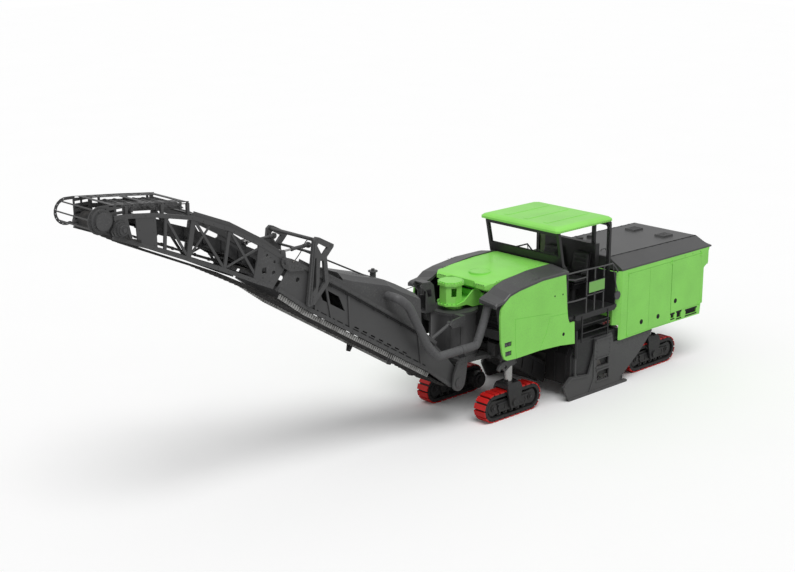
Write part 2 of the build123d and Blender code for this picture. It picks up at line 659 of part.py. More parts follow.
seat = fuse(seat_parts)
save("seats", seat.moved(Location((0, 420, 0))), seat.moved(Location((0, -420, 0))))

# Canopy: raked front posts, rear hoops, windscreen frame and a roof with bevelled edges
GLASS_Z = 3190
GLASS_LOW = (860, GLASS_Z)
GLASS_HIGH = (962, 3650)
canopy_parts = []
for side in (1, -1):
    y = side * 1000
    post = [(625, 2850), (695, 2850), (835, 3000), (1006, 3770 - SEAT), (936, 3770 - SEAT), (765, 3015)]
    canopy_parts.append(prism_y(post, y - 35, y + 35))
    hoop = [(1040, BELT_LINE + SEAT), (1040, 3640), (990, 3690), (590, 3690), (540, 3640),
            (540, BULKHEAD_TOP + SEAT), (620, BULKHEAD_TOP + SEAT), (620, 3580), (650, 3610), (930, 3610),
            (960, 3580), (960, BELT_LINE + SEAT)]
    canopy_parts.append(prism_x([(side * v, z) for v, z in hoop], -775, -715))
    reach = [(-775, 3620), (-775, 3690), (-700, 3732), (-695, 3770 - SEAT), (-560, 3770 - SEAT),
             (-560, 3735), (-640, 3700), (-715, 3620)]
    for v in (545, 975):
        canopy_parts.append(prism_y(reach, *both(v, v + 60, side)))
canopy_parts.append(box(917, 983, -1035, 1035, 3650, 3700))
cowl = [(770, 2925), (828, 2975), (842, 3030), (GLASS_LOW[0] + 18, GLASS_Z), (GLASS_LOW[0] - 42, GLASS_Z),
        (768, 3022), (738, 2985)]
canopy_parts.append(prism_y(cowl, -1035, 1035))
canopy_parts.append(box(775, 805, -980, 980, 2850, 2960))
save("canopy_frame", fuse(canopy_parts))


def cut_corners(x0, x1, half, cut):
    return [(x0 + cut, -half), (x1 - cut, -half), (x1, -half + cut), (x1, half - cut), (x1 - cut, half),
            (x0 + cut, half), (x0, half - cut), (x0, -half + cut)]


ROOF_LEVELS = (
    # height below or above the roof line, overhang lost all round, corner cut
    (-90, 0, 60), (-45, 0, 60), (-6, 42, 70), (22, 125, 80),
)
ROOF_X = (-745, 1100)
ROOF_HALF = 1110
levels = []
for dz, inset, cut in ROOF_LEVELS:
    outline = cut_corners(ROOF_X[0] + inset, ROOF_X[1] - inset, ROOF_HALF - inset, cut)
    levels.append(polygon([(x, y, ROOF_Z + dz) for x, y in outline]))
roof = Solid.make_loft(levels, ruled=True)
roof = roof - box(ROOF_X[0] + 40, ROOF_X[1] - 40, -ROOF_HALF + 40, ROOF_HALF - 40, ROOF_Z - 140, ROOF_Z - 60)
for y in (-560, 0, 560):
    roof = roof + prism_z([(-480, y - 60), (860, y - 60), (860, y + 60), (-480, y + 60)], ROOF_Z + 15,
                          ROOF_Z + 28)
save("canopy_roof", roof)
glass = [(GLASS_LOW[0] - 18, GLASS_Z + SEAT), (GLASS_LOW[0] - 6, GLASS_Z + SEAT),
         (GLASS_HIGH[0] - 6, GLASS_HIGH[1] - SEAT), (GLASS_HIGH[0] - 18, GLASS_HIGH[1] - SEAT)]
save("windscreen", prism_y(glass, -960, 960))

# Drum housing: an open box over the drum, with stiffening ribs outside
house = [(620, 330), (620, 1000), (420, 1300 - SEAT), (-900, 1300 - SEAT), (-1150, 1000), (-1150, 330)]
house_in = [(580, 300), (580, 985), (400, 1260), (-880, 1260), (-1110, 985), (-1110, 300)]
HOUSE_Y = 1150
housing = prism_y(house, -HOUSE_Y, HOUSE_Y) - prism_y(house_in, -HOUSE_Y + 40, HOUSE_Y - 40)
housing = housing - box(560, 640, -460, 460, 320, 900)
housing = housing - disc_y(DRUM_X, DRUM_Z, 180 + SEAT, -HOUSE_Y - 10, HOUSE_Y + 10)
for y in (-1060, -760, 740, 1040):
    housing = housing + prism_y([(615, 360), (660, 360), (660, 980), (450, 1285), (415, 1285), (615, 990)],
                                y, y + 20)
for y in (-1060, -560, -20, 540, 1040):
    housing = housing + prism_y([(-1145, 360), (-1190, 360), (-1190, 980), (-930, 1285), (-895, 1285),
                                 (-1145, 990)], y, y + 20)
for side in (1, -1):
    lift_y = side * (SIDE_PLATE_Y + SIDE_PLATE_T / 2)
    barrel = disc_z(PLATE_LIFT_X, lift_y, 36, 930, 1545) + disc_z(PLATE_LIFT_X, lift_y, 42, 930, 960)
    for z in (1010, 1180):
        barrel = barrel + box(PLATE_LIFT_X - 40, PLATE_LIFT_X + 40,
                              *both(HOUSE_Y - 20, abs(lift_y) - 10, side), z, z + 60)
    housing = housing + (barrel - disc_z(PLATE_LIFT_X, lift_y, PLATE_ROD_R + SEAT, 925, 1500))
save("drum_housing", housing)

# Primary conveyor: a trough with a cover, cross ribs, the head roller and a cleated belt
side_plate = [(620 + SEAT, 340), (680, 250), (2430, 1290), (2430, 1620), (2250, 1640), (620 + SEAT, 680)]
primary_parts = []
for side in (1, -1):
    primary_parts.append(prism_y(side_plate, *both(430, 450, side)))
    primary_parts.append(prism_y(strip([(720, 320), (2270, 1242)], 46), *both(448, 472, side)))
    primary_parts.append(prism_y(strip([(690, 690), (1640, 1247)], 46), *both(448, 472, side)))
    for share in (0.2, 0.4, 0.6):
        x = 700 + 1620 * share
        rib = strip([(x + 30, 320 + 0.595 * (x - 690)), (x - 30, 690 + 0.586 * (x - 720))], 36)
        primary_parts.append(prism_y(rib, *both(448, 470, side)))
primary_parts.append(prism_y([(640, 668), (2250, 1610), (2250, 1635), (640, 693)], -440, 440))
primary_parts.append(disc_y(2330, 1400, 90, -440, 440))
save("primary_conveyor", fuse(primary_parts))
primary_line = [(680, 430)] + wrap_points(2330, 1400, 97 + SEAT, 114, -50, 8) + [(760, 290)]
save("primary_belt", prism_y(cleated(primary_line, BELT_T, CLEAT_PITCH, CLEAT_H, 1), -BELT_HALF, BELT_HALF))

# Side plates with step holes, guide pads, a wear skid and stiffeners
plate = [(642, 12), (730, 45), (880, 343), (850, 400), (669, 540), (60, 470), (20, 560), (-110, 900),
         (-140, 1250), (-700, 1250), (-760, 1020), (-2150, 1020), (-2050, 900), (-1700, 590), (-1150, 205),
         (-1040, 160), (-1040, 12)]
step_holes = [window(-610, -205, 570, 745), window(-630, -225, 250, 470)]
STEP_LIPS = (
    # low x, high x, low z, high z
    (-640, -175, 745, 771), (-640, -175, 544, 570), (-660, -195, 470, 496), (-660, -195, 224, 250),
)
for side, letter in ((1, "left"), (-1, "right")):
    y0, y1 = both(SIDE_PLATE_Y, SIDE_PLATE_Y + SIDE_PLATE_T, side)
    out0, out1 = both(SIDE_PLATE_Y + SIDE_PLATE_T - 10, SIDE_PLATE_Y + SIDE_PLATE_T + 18, side)
    parts = [prism_y(plate, y0, y1, step_holes)]
    parts += [box(x, x + 110, *both(HOUSE_Y + SEAT, SIDE_PLATE_Y + 5, side), 760, 1240) for x in (-690, -262)]
    skid = [(642, 2), (730, 30), (660, 62), (-1250, 62), (-1290, 30), (-1270, 2)]
    parts.append(prism_y(skid, *both(SIDE_PLATE_Y - 16, SIDE_PLATE_Y + 58, side)))
    parts.append(prism_y(strip([(30, 70), (-110, 330), (-110, 880)], 36), out0, out1))
    parts.append(prism_y(strip([(860, 372), (640, 500), (90, 440)], 36), out0, out1))
    parts.append(prism_y(strip([(-700, 1190), (-150, 1190)], 40), out0, out1))
    for x0, x1, za, zb in STEP_LIPS:
        parts.append(box(x0, x1, out0, out1, za, zb))
    for x, top in ((-1140, 215), (-1085, 200)):
        parts.append(box(x, x + 26, *both(SIDE_PLATE_Y + 8, SIDE_PLATE_Y + 34, side), 50, top))
    lift_y = side * (SIDE_PLATE_Y + SIDE_PLATE_T / 2)
    parts.append(disc_z(PLATE_LIFT_X, lift_y, PLATE_ROD_R, 500, 1140))
    parts.append(disc_z(PLATE_LIFT_X, lift_y, PLATE_ROD_R + 14, 470, 560))
    save(f"side_plate_{letter}", fuse(parts))

# Milling drum with its picks
drum = disc_y(DRUM_X, DRUM_Z, DRUM_SHELL_R, -DRUM_HALF, DRUM_HALF)
drum = drum + disc_y(DRUM_X, DRUM_Z, 180, -HOUSE_Y + 5, HOUSE_Y - 5)
save("milling_drum", drum)
picks = []
for i in range(PICK_COUNT):
    share = i / (PICK_COUNT - 1)
    y = -960 + 1920 * share
    turn = 4.5 * 360 * abs(share - 0.5) + (i % 2) * 180
    low = Plane((DRUM_X, y, DRUM_Z), x_dir=(0, 1, 0), z_dir=(1, 0, 0)).rotated((0, turn, 0))
    base = [low.from_local_coords((u, v, DRUM_SHELL_R + SEAT)) for u,
            v in ((-26, -50), (26, -50), (26, 40), (-26, 40))]
    tip = [low.from_local_coords((u, v, DRUM_TIP_R)) for u, v in ((-9, 34), (9, 34), (9, 52), (-9, 52))]
    picks.append(Solid.make_loft([Wire.make_polygon(base, close=True), Wire.make_polygon(tip, close=True)],
                                 ruled=True))
save("drum_picks", *picks)

# Slewing column: lower ring, upper plate, shroud, cheeks for the tail, lift cylinder ears, hose bracket
slew_parts = [
    disc_z(SLEW_X, 0, SLEW_R + 10, 1320 + SEAT, 1410) - disc_z(SLEW_X, 0, SLEW_R - 90, 1310, 1420),
    disc_z(SLEW_X, 0, SLEW_R, SLEW_TOP - 30, SLEW_TOP),
    disc_z(SLEW_X, 0, SLEW_R + 8, SLEW_TOP - 60, SLEW_TOP - 30) - disc_z(SLEW_X, 0, SLEW_R - 60,
                                                                         SLEW_TOP - 70, SLEW_TOP - 20),
]
shroud = disc_z(SLEW_X, 0, SLEW_R, 1400, SLEW_TOP - 20) - disc_z(SLEW_X, 0, SLEW_R - 25, 1390, SLEW_TOP - 10)
slew_parts.append(shroud & box(SLEW_X - 180, SLEW_X + 600, -600, 600, 1380, SLEW_TOP))
for turn in (-62, -38, 38, 62):
    fin = Location((SLEW_X, 0, 0), (0, 0, turn))
    slew_parts.append(box(SLEW_R - 12, SLEW_R + 22, -10, 10, 1405, SLEW_TOP - 25).moved(fin))
cheek = [(3320, 1330), (3320, 1480), (3480, 1480), (3600, 1400), (3700, 1180)]
cheek += arc_points(TAIL_X, TAIL_Z, 175, 20, -160, 9) + [(3360, 1060)]
LIFT_EAR_Y = LIFT_Y + 38 + 17
for side in (1, -1):
    slew_parts.append(prism_y(cheek, *both(BOOM_Y + 45, BOOM_Y + 90, side)))
    slew_parts.append(disc_y(TAIL_X, TAIL_Z, 105, *both(BOOM_Y + 90, BOOM_Y + 108, side)))
    slew_parts.append(box(3320, 3440, *both(300, BOOM_Y + 90, side), 1340, 1410))
    slew_parts.append(prism_x([(side * 480, 1405), (side * 690, 1405), (side * 690, 1480),
                               (side * 480, 1700)], 3330, 3352))
    ear = [(3300, 2120), (3300, SLEW_TOP), (3640, 2290), (3720, 2200), (3640, 2120)]
    slew_parts.append(prism_y(ear, *both(LIFT_EAR_Y, LIFT_EAR_Y + 40, side)))
    slew_parts.append(box(3280, 3400, *both(380, LIFT_EAR_Y + 40, side), SLEW_TOP - 100, SLEW_TOP))
    slew_parts.append(disc_y(*LIFT_A, 25, *both(LIFT_Y - 40, LIFT_EAR_Y + 15, side)))
slew_parts.append(box(3300, 3720, -390, -130, SLEW_TOP - 30, SLEW_TOP))
mast = [(3400, SLEW_TOP - 5), (3480, 2860), (3560, 2940), (3780, 2960), (3860, 2900), (3690, 2740),
        (3690, SLEW_TOP - 5)]
mast_hole = [(3520, 2620), (3640, 2630), (3690, 2790), (3560, 2790)]
for y in (-390, -154):
    slew_parts.append(prism_y(mast, y, y + 24, [mast_hole]))
slew_parts.append(prism_y([(3560, 2916), (3780, 2936), (3780, 2960), (3560, 2940)], -380, -140))
slew_parts.append(prism_y([(3400, SLEW_TOP - 5), (3424, SLEW_TOP - 5), (3504, 2860), (3480, 2860)], -380,
                          -140))
slew = fuse(slew_parts)
for side in (1, -1):
    slew = slew - disc_y(TAIL_X, TAIL_Z, TAIL_PIN_R + SEAT, *both(BOOM_Y + 40, BOOM_Y + 120, side))
save("slew_column", slew)

# Inner boom: two solid side plates with chords, ribs, cross tubes, idlers, skirts, tail drum and hinge lugs
inner_side = [(3440, 860), (3560, 830), (3800, 960), (4310, 1350), (7490, 3290), (8190, 3800), (7920, 4110),
              (7740, 4250), (7020, 3850), (6560, 3560), (4620, 2330), (4150, 1900), (3480, 1180)]
bay = [(6560, 3080), (7100, 3400), (7230, 3720), (6700, 3390)]
INNER_LOW = [(3700, 930), (4310, 1390), (7490, 3330), (8150, 3815)]
INNER_TOP = [(4150, 1930), (4620, 2300), (6560, 3530), (7690, 4200)]
CHORD = 70
slots = []
for i in range(7):
    x = 4950 + i * 210
    z = 1390 + (x - 4310) * 0.61 + 110
    slots.append(strip([(x, z), (x + 110, z + 67)], 26)[::-1])
see_through = [ring_points(7690, 3900, 46, 12)]
RIB_TABLE = (
    # foot x, foot z, head x, head z
    (4560, 1560, 4660, 2290), (6440, 2700, 6480, 3440), (6900, 3000, 7060, 3790), (7290, 3240, 7330, 3960),
)
inner_parts = []
for side in (1, -1):
    inner_parts.append(prism_y(inner_side, *both(BOOM_Y - PLATE_T, BOOM_Y, side),
                               [bay] + slots + see_through))
    chord = both(BOOM_Y - 60, BOOM_Y + 25, side)
    inner_parts.append(prism_y(strip(INNER_LOW, CHORD), *chord))
    inner_parts.append(prism_y(strip(INNER_TOP, CHORD), *chord))
    for x0, z0, x1, z1 in RIB_TABLE:
        inner_parts.append(member((x0, z0), (x1, z1), 46, *both(BOOM_Y - 5, BOOM_Y + 22, side)))
    skirt = [(4700, 2340), (6560, 3520), (7640, 4165), (7600, 4265), (6520, 3640), (4660, 2460)]
    inner_parts.append(prism_y(skirt, *both(BOOM_Y - 58, BOOM_Y - 50, side)))
    lug = [(7560, 4060), (7900, 4100), (8050, 4200)] + arc_points(FOLD_X, FOLD_Z, 85, -20, 120,
                                                                  6) + [(7860, 4330), (7680, 4240)]
    inner_parts.append(prism_y(lug, *both(BOOM_Y + 10, BOOM_Y + 45, side)))
    inner_parts.append(disc_y(*LIFT_R, 60, *both(LIFT_Y + 38 + SEAT, BOOM_Y, side)))
    inner_parts.append(box(7380, 7480, *both(BOOM_Y, BOOM_Y + 28 - SEAT, side), 3360, 3560))
for x, z in ((5500, 2130), (6400, 2680), (7300, 3240)):
    inner_parts.append(rod((x, -BOOM_Y + 10, z), (x, BOOM_Y - 10, z), 34))
inner_parts.append(disc_y(TAIL_X, TAIL_Z, TAIL_PIN_R, -(BOOM_Y + 106), BOOM_Y + 106))
inner_parts.append(disc_y(TAIL_X, TAIL_Z, 118, -390, 390))
inner_boom = fuse(inner_parts)
for side in (1, -1):
    inner_boom = inner_boom - disc_y(FOLD_X, FOLD_Z, FOLD_PIN_R + SEAT, *both(BOOM_Y, BOOM_Y + 50, side))
save("inner_boom", inner_boom)
inner_line = [(8100, 3620), (6700, 2745), (5490, 2008), (4460, 1385), (3660, 870)]
inner_line += wrap_points(TAIL_X, TAIL_Z, 125 + SEAT, -70, -230, 8) + [(4300, 1600), (8070, 3950)]
save("inner_belt", prism_y(cleated(inner_line, BELT_T, CLEAT_PITCH, CLEAT_H, 1), -BELT_HALF, BELT_HALF))

# Portal frames over the fold, joined by tubes, with two stays down to the hopper
PORTAL_Y = BOOM_Y + 28
portal_parts = []
for side in (1, -1):
    ring = [(7500, 3370), (7540, 3400), (7375, 4590), (7300, 4640), (7230, 4620), (6890, 4440),
            (6900, 4390), (7060, 4230), (7020, 3740), (7050, 3690), (7370, 3390)]
    slot = [(7420, 3620), (7350, 4250), (7310, 4250), (7330, 3700)]
    eye = [(7290, 4480), (7250, 4520), (7040, 4400), (7170, 4270)]
    web = [(7250, 3780), (7220, 4180), (7140, 4180), (7110, 3760), (7300, 3580)]
    portal_parts.append(prism_y(ring, *both(PORTAL_Y, PORTAL_Y + 60, side), [slot[::-1], eye[::-1], web]))
    portal_parts.append(prism_y(strip([(7470, 3420), (7330, 4560)], 26),
                                *both(PORTAL_Y + 60, PORTAL_Y + 72, side)))
portal_parts.append(disc_y(7290, 4575, 34, -PORTAL_Y - 10, PORTAL_Y + 10))
portal_parts.append(disc_y(7095, 4250, 24, -PORTAL_Y - 10, PORTAL_Y + 10))
for side in (1, -1):
    portal_parts.append(disc_y(*FOLD_A, 24, *both(FOLD_Y - 30, PORTAL_Y + 12, side)))
save("portal", fuse(portal_parts))

# Hopper hood over the tail: an open-bottomed cover with sloped shoulders, a top fitting and two stays
HOPPER_Y = BOOM_Y - 60 - SEAT
hopper_low = [(4480, 2250), (5350, 2800), (6500, 3525), (6560, 3700), (6300, 3600), (5370, 3330),
              (5050, 3150), (4520, 2900)]
hopper_high = [(4480, 2250), (5350, 2800), (6500, 3525), (6560, 3790), (6270, 3690), (5370, 3430),
               (5080, 3290), (4560, 3010)]
hopper_in = [(4500, 2200), (5350, 2740), (6480, 3450), (6520, 3690), (6280, 3585), (5380, 3315),
             (5060, 3135), (4540, 2890)]


def wire_y(points, y):
    return polygon([(x, y, z) for x, z in points])


hopper = Solid.make_loft([wire_y(hopper_low, -HOPPER_Y), wire_y(hopper_high, -400), wire_y(hopper_high, 400),
                          wire_y(hopper_low, HOPPER_Y)], ruled=True)
hopper = hopper - prism_y(hopper_in, -HOPPER_Y + 14, HOPPER_Y - 14)
fitting = [disc_z(5290, 0, 60, 3380, 3500), disc_z(5290, 0, 95, 3500, 3520), disc_z(5290, 0, 34, 3520, 3560)]
hopper = fuse([hopper] + fitting)
for side in (1, -1):
    start = (5320, side * 60, 3370)
    goal = (7095, 4250)
    size = math.hypot(goal[0] - start[0], goal[1] - start[2])
    share = (size - 24 - SEAT) / size
    end = (start[0] + (goal[0] - start[0]) * share, side * 60, start[2] + (goal[1] - start[2]) * share)
    hopper = hopper + rod(start, end, 11)
save("hopper", hopper)

# Outer boom: a truss of chords, posts and diagonals on each side, with end plates at the fold
OUTER_TOP = [(7960, 4330), (8430, 4650), (9180, 5080), (9920, 5390), (10700, 5560), (11200, 5620),
             (11500, 5632)]
OUTER_LOW = [(8250, 3870), (8560, 4010), (9300, 4370), (9850, 4610), (10750, 5010), (11100, 5150),
             (11520, 5320)]
POST_TABLE = (
    # foot, head, width
    ((8560, 4030), (8480, 4640), 62), ((9310, 4390), (9180, 5040), 62), ((10060, 4720), (9930, 5360), 96),
    ((10530, 4930), (10490, 5480), 56), ((11300, 5260), (11280, 5600), 50),
)
BRACE_TABLE = (
    # foot, head, width
    ((8580, 4060), (9150, 5020), 46), ((9330, 4420), (9900, 5340), 46), ((9260, 4420), (8520, 4640), 34),
    ((10080, 4760), (10480, 5470), 44), ((10040, 4740), (9560, 5230), 34),
)
end_plate = [(7925, 4230), (8250, 3860), (8400, 3930), (8700, 4080), (8600, 4420), (8560, 4690),
             (8430, 4650), (7960, 4330)]
end_holes = [ring_points(8240, 4130, 40, 12), window(8400, 8500, 4150, 4260), window(8190, 8240, 4300, 4350),
             ring_points(8380, 4470, 30, 10)]
head_plate = [(10680, 4975), (11060, 5130), (11090, 5600), (10690, 5555)]
tip_plate = [(11150, 5170), (11500, 5312), (11545, 5400), (11512, 5500), (11490, 5580), (11490, 5636),
             (11250, 5625)]
tip_holes = [ring_points(HEAD[0], HEAD[1], 40 + SEAT, 24)]
TRUSS_Y = BOOM_Y - 50
outer_parts = []
for side in (1, -1):
    span = both(TRUSS_Y, BOOM_Y, side)
    inside = both(TRUSS_Y + 8, BOOM_Y - 8, side)
    outer_parts.append(prism_y(strip(OUTER_TOP, 74), *span))
    outer_parts.append(prism_y(strip(OUTER_LOW, 74), *span))
    for foot, head, width in POST_TABLE:
        outer_parts.append(member(foot, head, width, *inside))
    for foot, head, width in BRACE_TABLE:
        outer_parts.append(member(foot, head, width, *both(TRUSS_Y + 14, BOOM_Y - 14, side)))
    outer_parts.append(prism_y(end_plate, *both(TRUSS_Y + 10, BOOM_Y - 6, side), end_holes))
    outer_parts.append(prism_y(head_plate, *both(TRUSS_Y + 18, BOOM_Y - 6, side)))
    outer_parts.append(prism_y(tip_plate, *both(TRUSS_Y, BOOM_Y, side)))
    skirt = [(8060, 4380), (8460, 4660), (9200, 5090), (9930, 5400), (9900, 5500), (9160, 5200),
             (8400, 4760), (8010, 4470)]
    outer_parts.append(prism_y(skirt, *both(TRUSS_Y + 2, TRUSS_Y + 10, side)))
    outer_parts.append(disc_y(FOLD_X, FOLD_Z, FOLD_PIN_R, *both(TRUSS_Y, BOOM_Y + 100, side)))
    outer_parts.append(disc_y(*FOLD_R, 50, *both(FOLD_Y + 22 + SEAT, TRUSS_Y + 20, side)))
    horn = [(7930, 4240), (8060, 4280), (8060, 4400), (FOLD_R[0] + 55, FOLD_R[1]),
            (FOLD_R[0] + 30, FOLD_R[1] + 50), (FOLD_R[0] - 30, FOLD_R[1] + 50), (FOLD_R[0] - 55, FOLD_R[1])]
    outer_parts.append(prism_y(horn, *both(TRUSS_Y + 6, TRUSS_Y + 36, side)))
for x, z in ((8600, 4080), (9300, 4390), (9850, 4630), (10750, 5030)):
    outer_parts.append(rod((x, -TRUSS_Y - 5, z), (x, TRUSS_Y + 5, z), 32))
for x, z in ((8900, 4960), (9930, 5440)):
    outer_parts.append(box(x - 25, x + 25, -TRUSS_Y - 6, TRUSS_Y + 6, z, z + 24))
outer_boom = fuse(outer_parts)
for side in (1, -1):
    outer_boom = outer_boom - disc_y(*HEAD, 40 + SEAT, *both(TRUSS_Y - 10, BOOM_Y + 10, side))
save("outer_boom", outer_boom)
outer_line = [(8160, 3660), (8640, 3925), (9350, 4305), (10200, 4690), (10850, 4985)]
outer_line += wrap_points(*HEAD, HEAD_R + 7 + SEAT, -61.5, 110.8, 10) + [(10700, 5330), (9900, 5040),
                                                                         (9200, 4690), (8150, 4010)]
save("outer_belt", prism_y(cleated(outer_line, BELT_T, CLEAT_PITCH, CLEAT_H, -1), -BELT_HALF, BELT_HALF))

# Head drum and its motor on an eight-sided flange
def octagon_xz(x, z, radius):
    r = radius / math.cos(math.pi / 8)
    return ring_points(x, z, r, 8)


drum_head = disc_y(*HEAD, HEAD_R, -395, 395) + disc_y(*HEAD, 40, -BOOM_Y, BOOM_Y + 15 - SEAT)
FLANGE_Y = BOOM_Y + 15
motor = fuse([prism_y(octagon_xz(*HEAD, 135), FLANGE_Y, FLANGE_Y + 46),
              disc_y(*HEAD, 112, FLANGE_Y + 40, 700),
              disc_y(*HEAD, 84, 695, 735), disc_y(*HEAD, 34, 730, 752)])
motor = motor - (disc_y(*HEAD, 70, 728, 740) - disc_y(*HEAD, 34, 726, 742))
save("head_drum", drum_head, motor)

# Head guards inside each truss: a slotted rail round the head, slotted decks, side plates, a left end cover
GUARD_OUT = TRUSS_Y - SEAT
GUARD_Y = GUARD_OUT - 54
RING = (11700, 5612)
RING_R = 212
rail = [(9960, 5650), (10700, 5735), (11560, 5818)] + arc_points(*RING, RING_R, 98, -106, 12)
rail += [(11420, 5310), (11240, 5235)]
guard_sets = []
for side in (1, -1):
    y0, y1 = both(GUARD_Y, GUARD_Y + 14, side)
    rail_solid = prism_y(strip(rail, 50), y0, y1)
    for i in range(11):
        x = 10010 + i * 143
        z = 5656 + (x - 10010) * 0.108
        rail_solid = rail_solid - prism_y(strip([(x, z), (x + 92, z + 10)], 22), y0 - 5, y1 + 5)
    for i in range(9):
        hx, hz = arc_points(*RING, RING_R, 80, -90, 8)[i]
        rail_solid = rail_solid - disc_y(hx, hz, 9, y0 - 5, y1 + 5)
    guard_sets.append(rail_solid)
    for x, za, zb in ((9975, 5400, 5650), (10500, 5440, 5712), (11200, 5560, 5782), (11245, 5205, 5270)):
        guard_sets.append(box(x, x + 50, *both(GUARD_Y, GUARD_OUT, side), za, zb))
    slotted = prism_y([(11240, 5400), (11560, 5400), (11570, 5810), (11250, 5780)], y0, y1)
    for z in (5440, 5530, 5620, 5710):
        slotted = slotted - box(11275, 11390, y0 - 5, y1 + 5, z, z + 42) - box(11425, 11535, y0 - 5, y1 + 5,
                                                                               z, z + 42)
    slotted = slotted - disc_y(*HEAD, 46, y0 - 6, y1 + 6)
    guard_sets.append(slotted)
    ya, yb = both(300, GUARD_Y + 10, side)
    deck = prism_y([(10000, 5668), (11480, 5826), (11480, 5836), (10000, 5678)], ya, yb)
    for i in range(7):
        x = 10070 + i * 200
        for yc in (ya + 20, ya + 110):
            deck = deck - box(x, x + 140, yc, yc + 60, 5600, 5900)
    guard_sets.append(deck)
for x, z in ((10010, 5673), (10720, 5750), (11400, 5822)):
    guard_sets.append(box(x, x + 60, -GUARD_Y - 4, GUARD_Y + 4, z - 6, z + 8))
for angle in (60, 10, -35):
    x, z = arc_points(*RING, RING_R, angle, angle, 1)[0]
    guard_sets.append(rod((x, -GUARD_Y - 10, z), (x, GUARD_Y + 10, z), 13))
cover = disc_y(*RING, RING_R - 18, GUARD_Y + 10, GUARD_Y + 80) + disc_y(*RING, RING_R - 62, GUARD_Y + 75,
                                                                        GUARD_Y + 125)
cover = cover - disc_y(*RING, RING_R - 90, GUARD_Y - 5, GUARD_Y + 110)
for angle in (20, 110, 200, 290):
    spoke = Location((RING[0], 0, RING[1]), (0, angle, 0))
    cover = cover + box(60, RING_R - 30, GUARD_Y + 60, GUARD_Y + 96, -12, 12).moved(spoke)
guard_sets.append(cover)
save("head_guard", fuse(guard_sets))


# Cylinders, each a hollow barrel and a rod that end at their pins
def cylinder_pair(start, end, y, width, barrel_share, barrel_r, rod_r, rod_share, base_eye):
    """Both sides' barrels and rods, built along the line from the base pin to the rod's pin."""
    (ax, az), (bx, bz) = start, end
    size = math.hypot(bx - ax, bz - az)
    ux, uz = (bx - ax) / size, (bz - az) / size
    barrel_len = size * barrel_share
    barrels, rods = [], []
    for side in (1, -1):
        yc = side * y

        def at(distance):
            return (ax + ux * distance, yc, az + uz * distance)

        eye = disc_y(ax, az, EYE_R, yc - width / 2, yc + width / 2)
        collar = rod(at(barrel_len - 40), at(barrel_len), barrel_r + 7)
        foot = rod(at(90), at(120), barrel_r + 6)
        barrel = fuse([rod(at(40), at(barrel_len), barrel_r), eye, collar, foot])
        barrel = barrel - rod(at(90), at(barrel_len + 5), rod_r + SEAT)
        barrels.append(barrel - disc_y(ax, az, base_eye, yc - width, yc + width))
        eye = disc_y(bx, bz, EYE_R - 10, yc - width / 2, yc + width / 2)
        stem = rod(at(size * rod_share), at(size - 20), rod_r)
        rods.append(fuse([stem, eye]) - disc_y(bx, bz, 24, yc - width, yc + width))
    return barrels, rods


barrels, rods = cylinder_pair(LIFT_A, LIFT_R, LIFT_Y, 76, 0.668, 38, 22, 0.2, 25 + SEAT)
save("lift_barrels", *barrels)
save("lift_rods", *rods)
barrels, rods = cylinder_pair(FOLD_A, FOLD_R, FOLD_Y, 44, 0.606, 32, 20, 0.364, 24 + SEAT)
save("fold_barrels", *barrels)
save("fold_rods", *rods)


# Dust duct: the rear half hangs from the shoulder, the front half rises to the hopper
def duct(points, bend, radius):
    path = FilletPolyline(*points, radius=bend)
    start = Plane(path @ 0, z_dir=path % 0)
    return sweep(start * Circle(radius), path=path)


DUCT_Y = 900
DUCT_Z = 1765
rear_route = [(2975, DUCT_Y + 30, 2619.2), (3060, DUCT_Y, 2250), (3290, DUCT_Y, DUCT_Z),
              (3740, DUCT_Y, DUCT_Z)]
front_route = [(3750, DUCT_Y, DUCT_Z), (4400, DUCT_Y, DUCT_Z), (4700, DUCT_Y, 2100), (5120, DUCT_Y, 2900),
               (5420, 820, 3150), (5420, HOPPER_Y, 3150)]
save("duct_rear", duct(rear_route, 200, DUCT_R))
save("duct_front", duct(front_route, 140, DUCT_R))
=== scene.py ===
import math

import bmesh
import bpy
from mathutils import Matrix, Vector


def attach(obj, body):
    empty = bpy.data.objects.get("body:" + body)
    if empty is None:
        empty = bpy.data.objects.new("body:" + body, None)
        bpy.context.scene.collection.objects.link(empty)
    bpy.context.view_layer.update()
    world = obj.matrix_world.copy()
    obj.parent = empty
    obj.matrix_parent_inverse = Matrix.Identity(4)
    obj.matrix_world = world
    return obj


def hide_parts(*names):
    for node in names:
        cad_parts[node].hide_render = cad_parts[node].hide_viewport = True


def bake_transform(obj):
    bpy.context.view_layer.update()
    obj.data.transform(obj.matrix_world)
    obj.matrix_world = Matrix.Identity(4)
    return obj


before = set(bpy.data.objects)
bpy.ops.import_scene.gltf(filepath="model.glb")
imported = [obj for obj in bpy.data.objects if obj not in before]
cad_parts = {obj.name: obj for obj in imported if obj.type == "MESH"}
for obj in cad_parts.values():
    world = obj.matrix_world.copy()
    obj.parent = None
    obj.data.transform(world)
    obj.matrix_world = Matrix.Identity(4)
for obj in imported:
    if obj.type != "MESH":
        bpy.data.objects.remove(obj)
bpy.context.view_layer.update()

# Metres: the middle of the part's length from its datum, a crawler loop's end radius and half its straight,
# a shift that brings distances near the loop's rim inside a colour ramp's range, and one millimetre
MID = 3.910
TRACK_R = 0.305
TRACK_HALF = 0.565
RAMP_SHIFT = TRACK_R - 0.50
MM = 0.001

# Metres: the crawler units' stations from that middle
FRONT_X = 2.240 - MID
REAR_X = -2.490 - MID

# Millimetres: distances from the middle plane to the faces and middles that the pieces stand on
PANEL_Y = 1260
EDGE_PLATE_Y = 1214
# The dark sheet that paints shade behind the front side panels stands at SHADE_SHEET_Y
SHADE_SHEET_Y = 1204
RAIL_Y = 1225
CRAWLER_Y = 835
BOOM_Y = 625
TRUSS_Y = 600
HEAD_Y = 594
SEAT_Y = 420

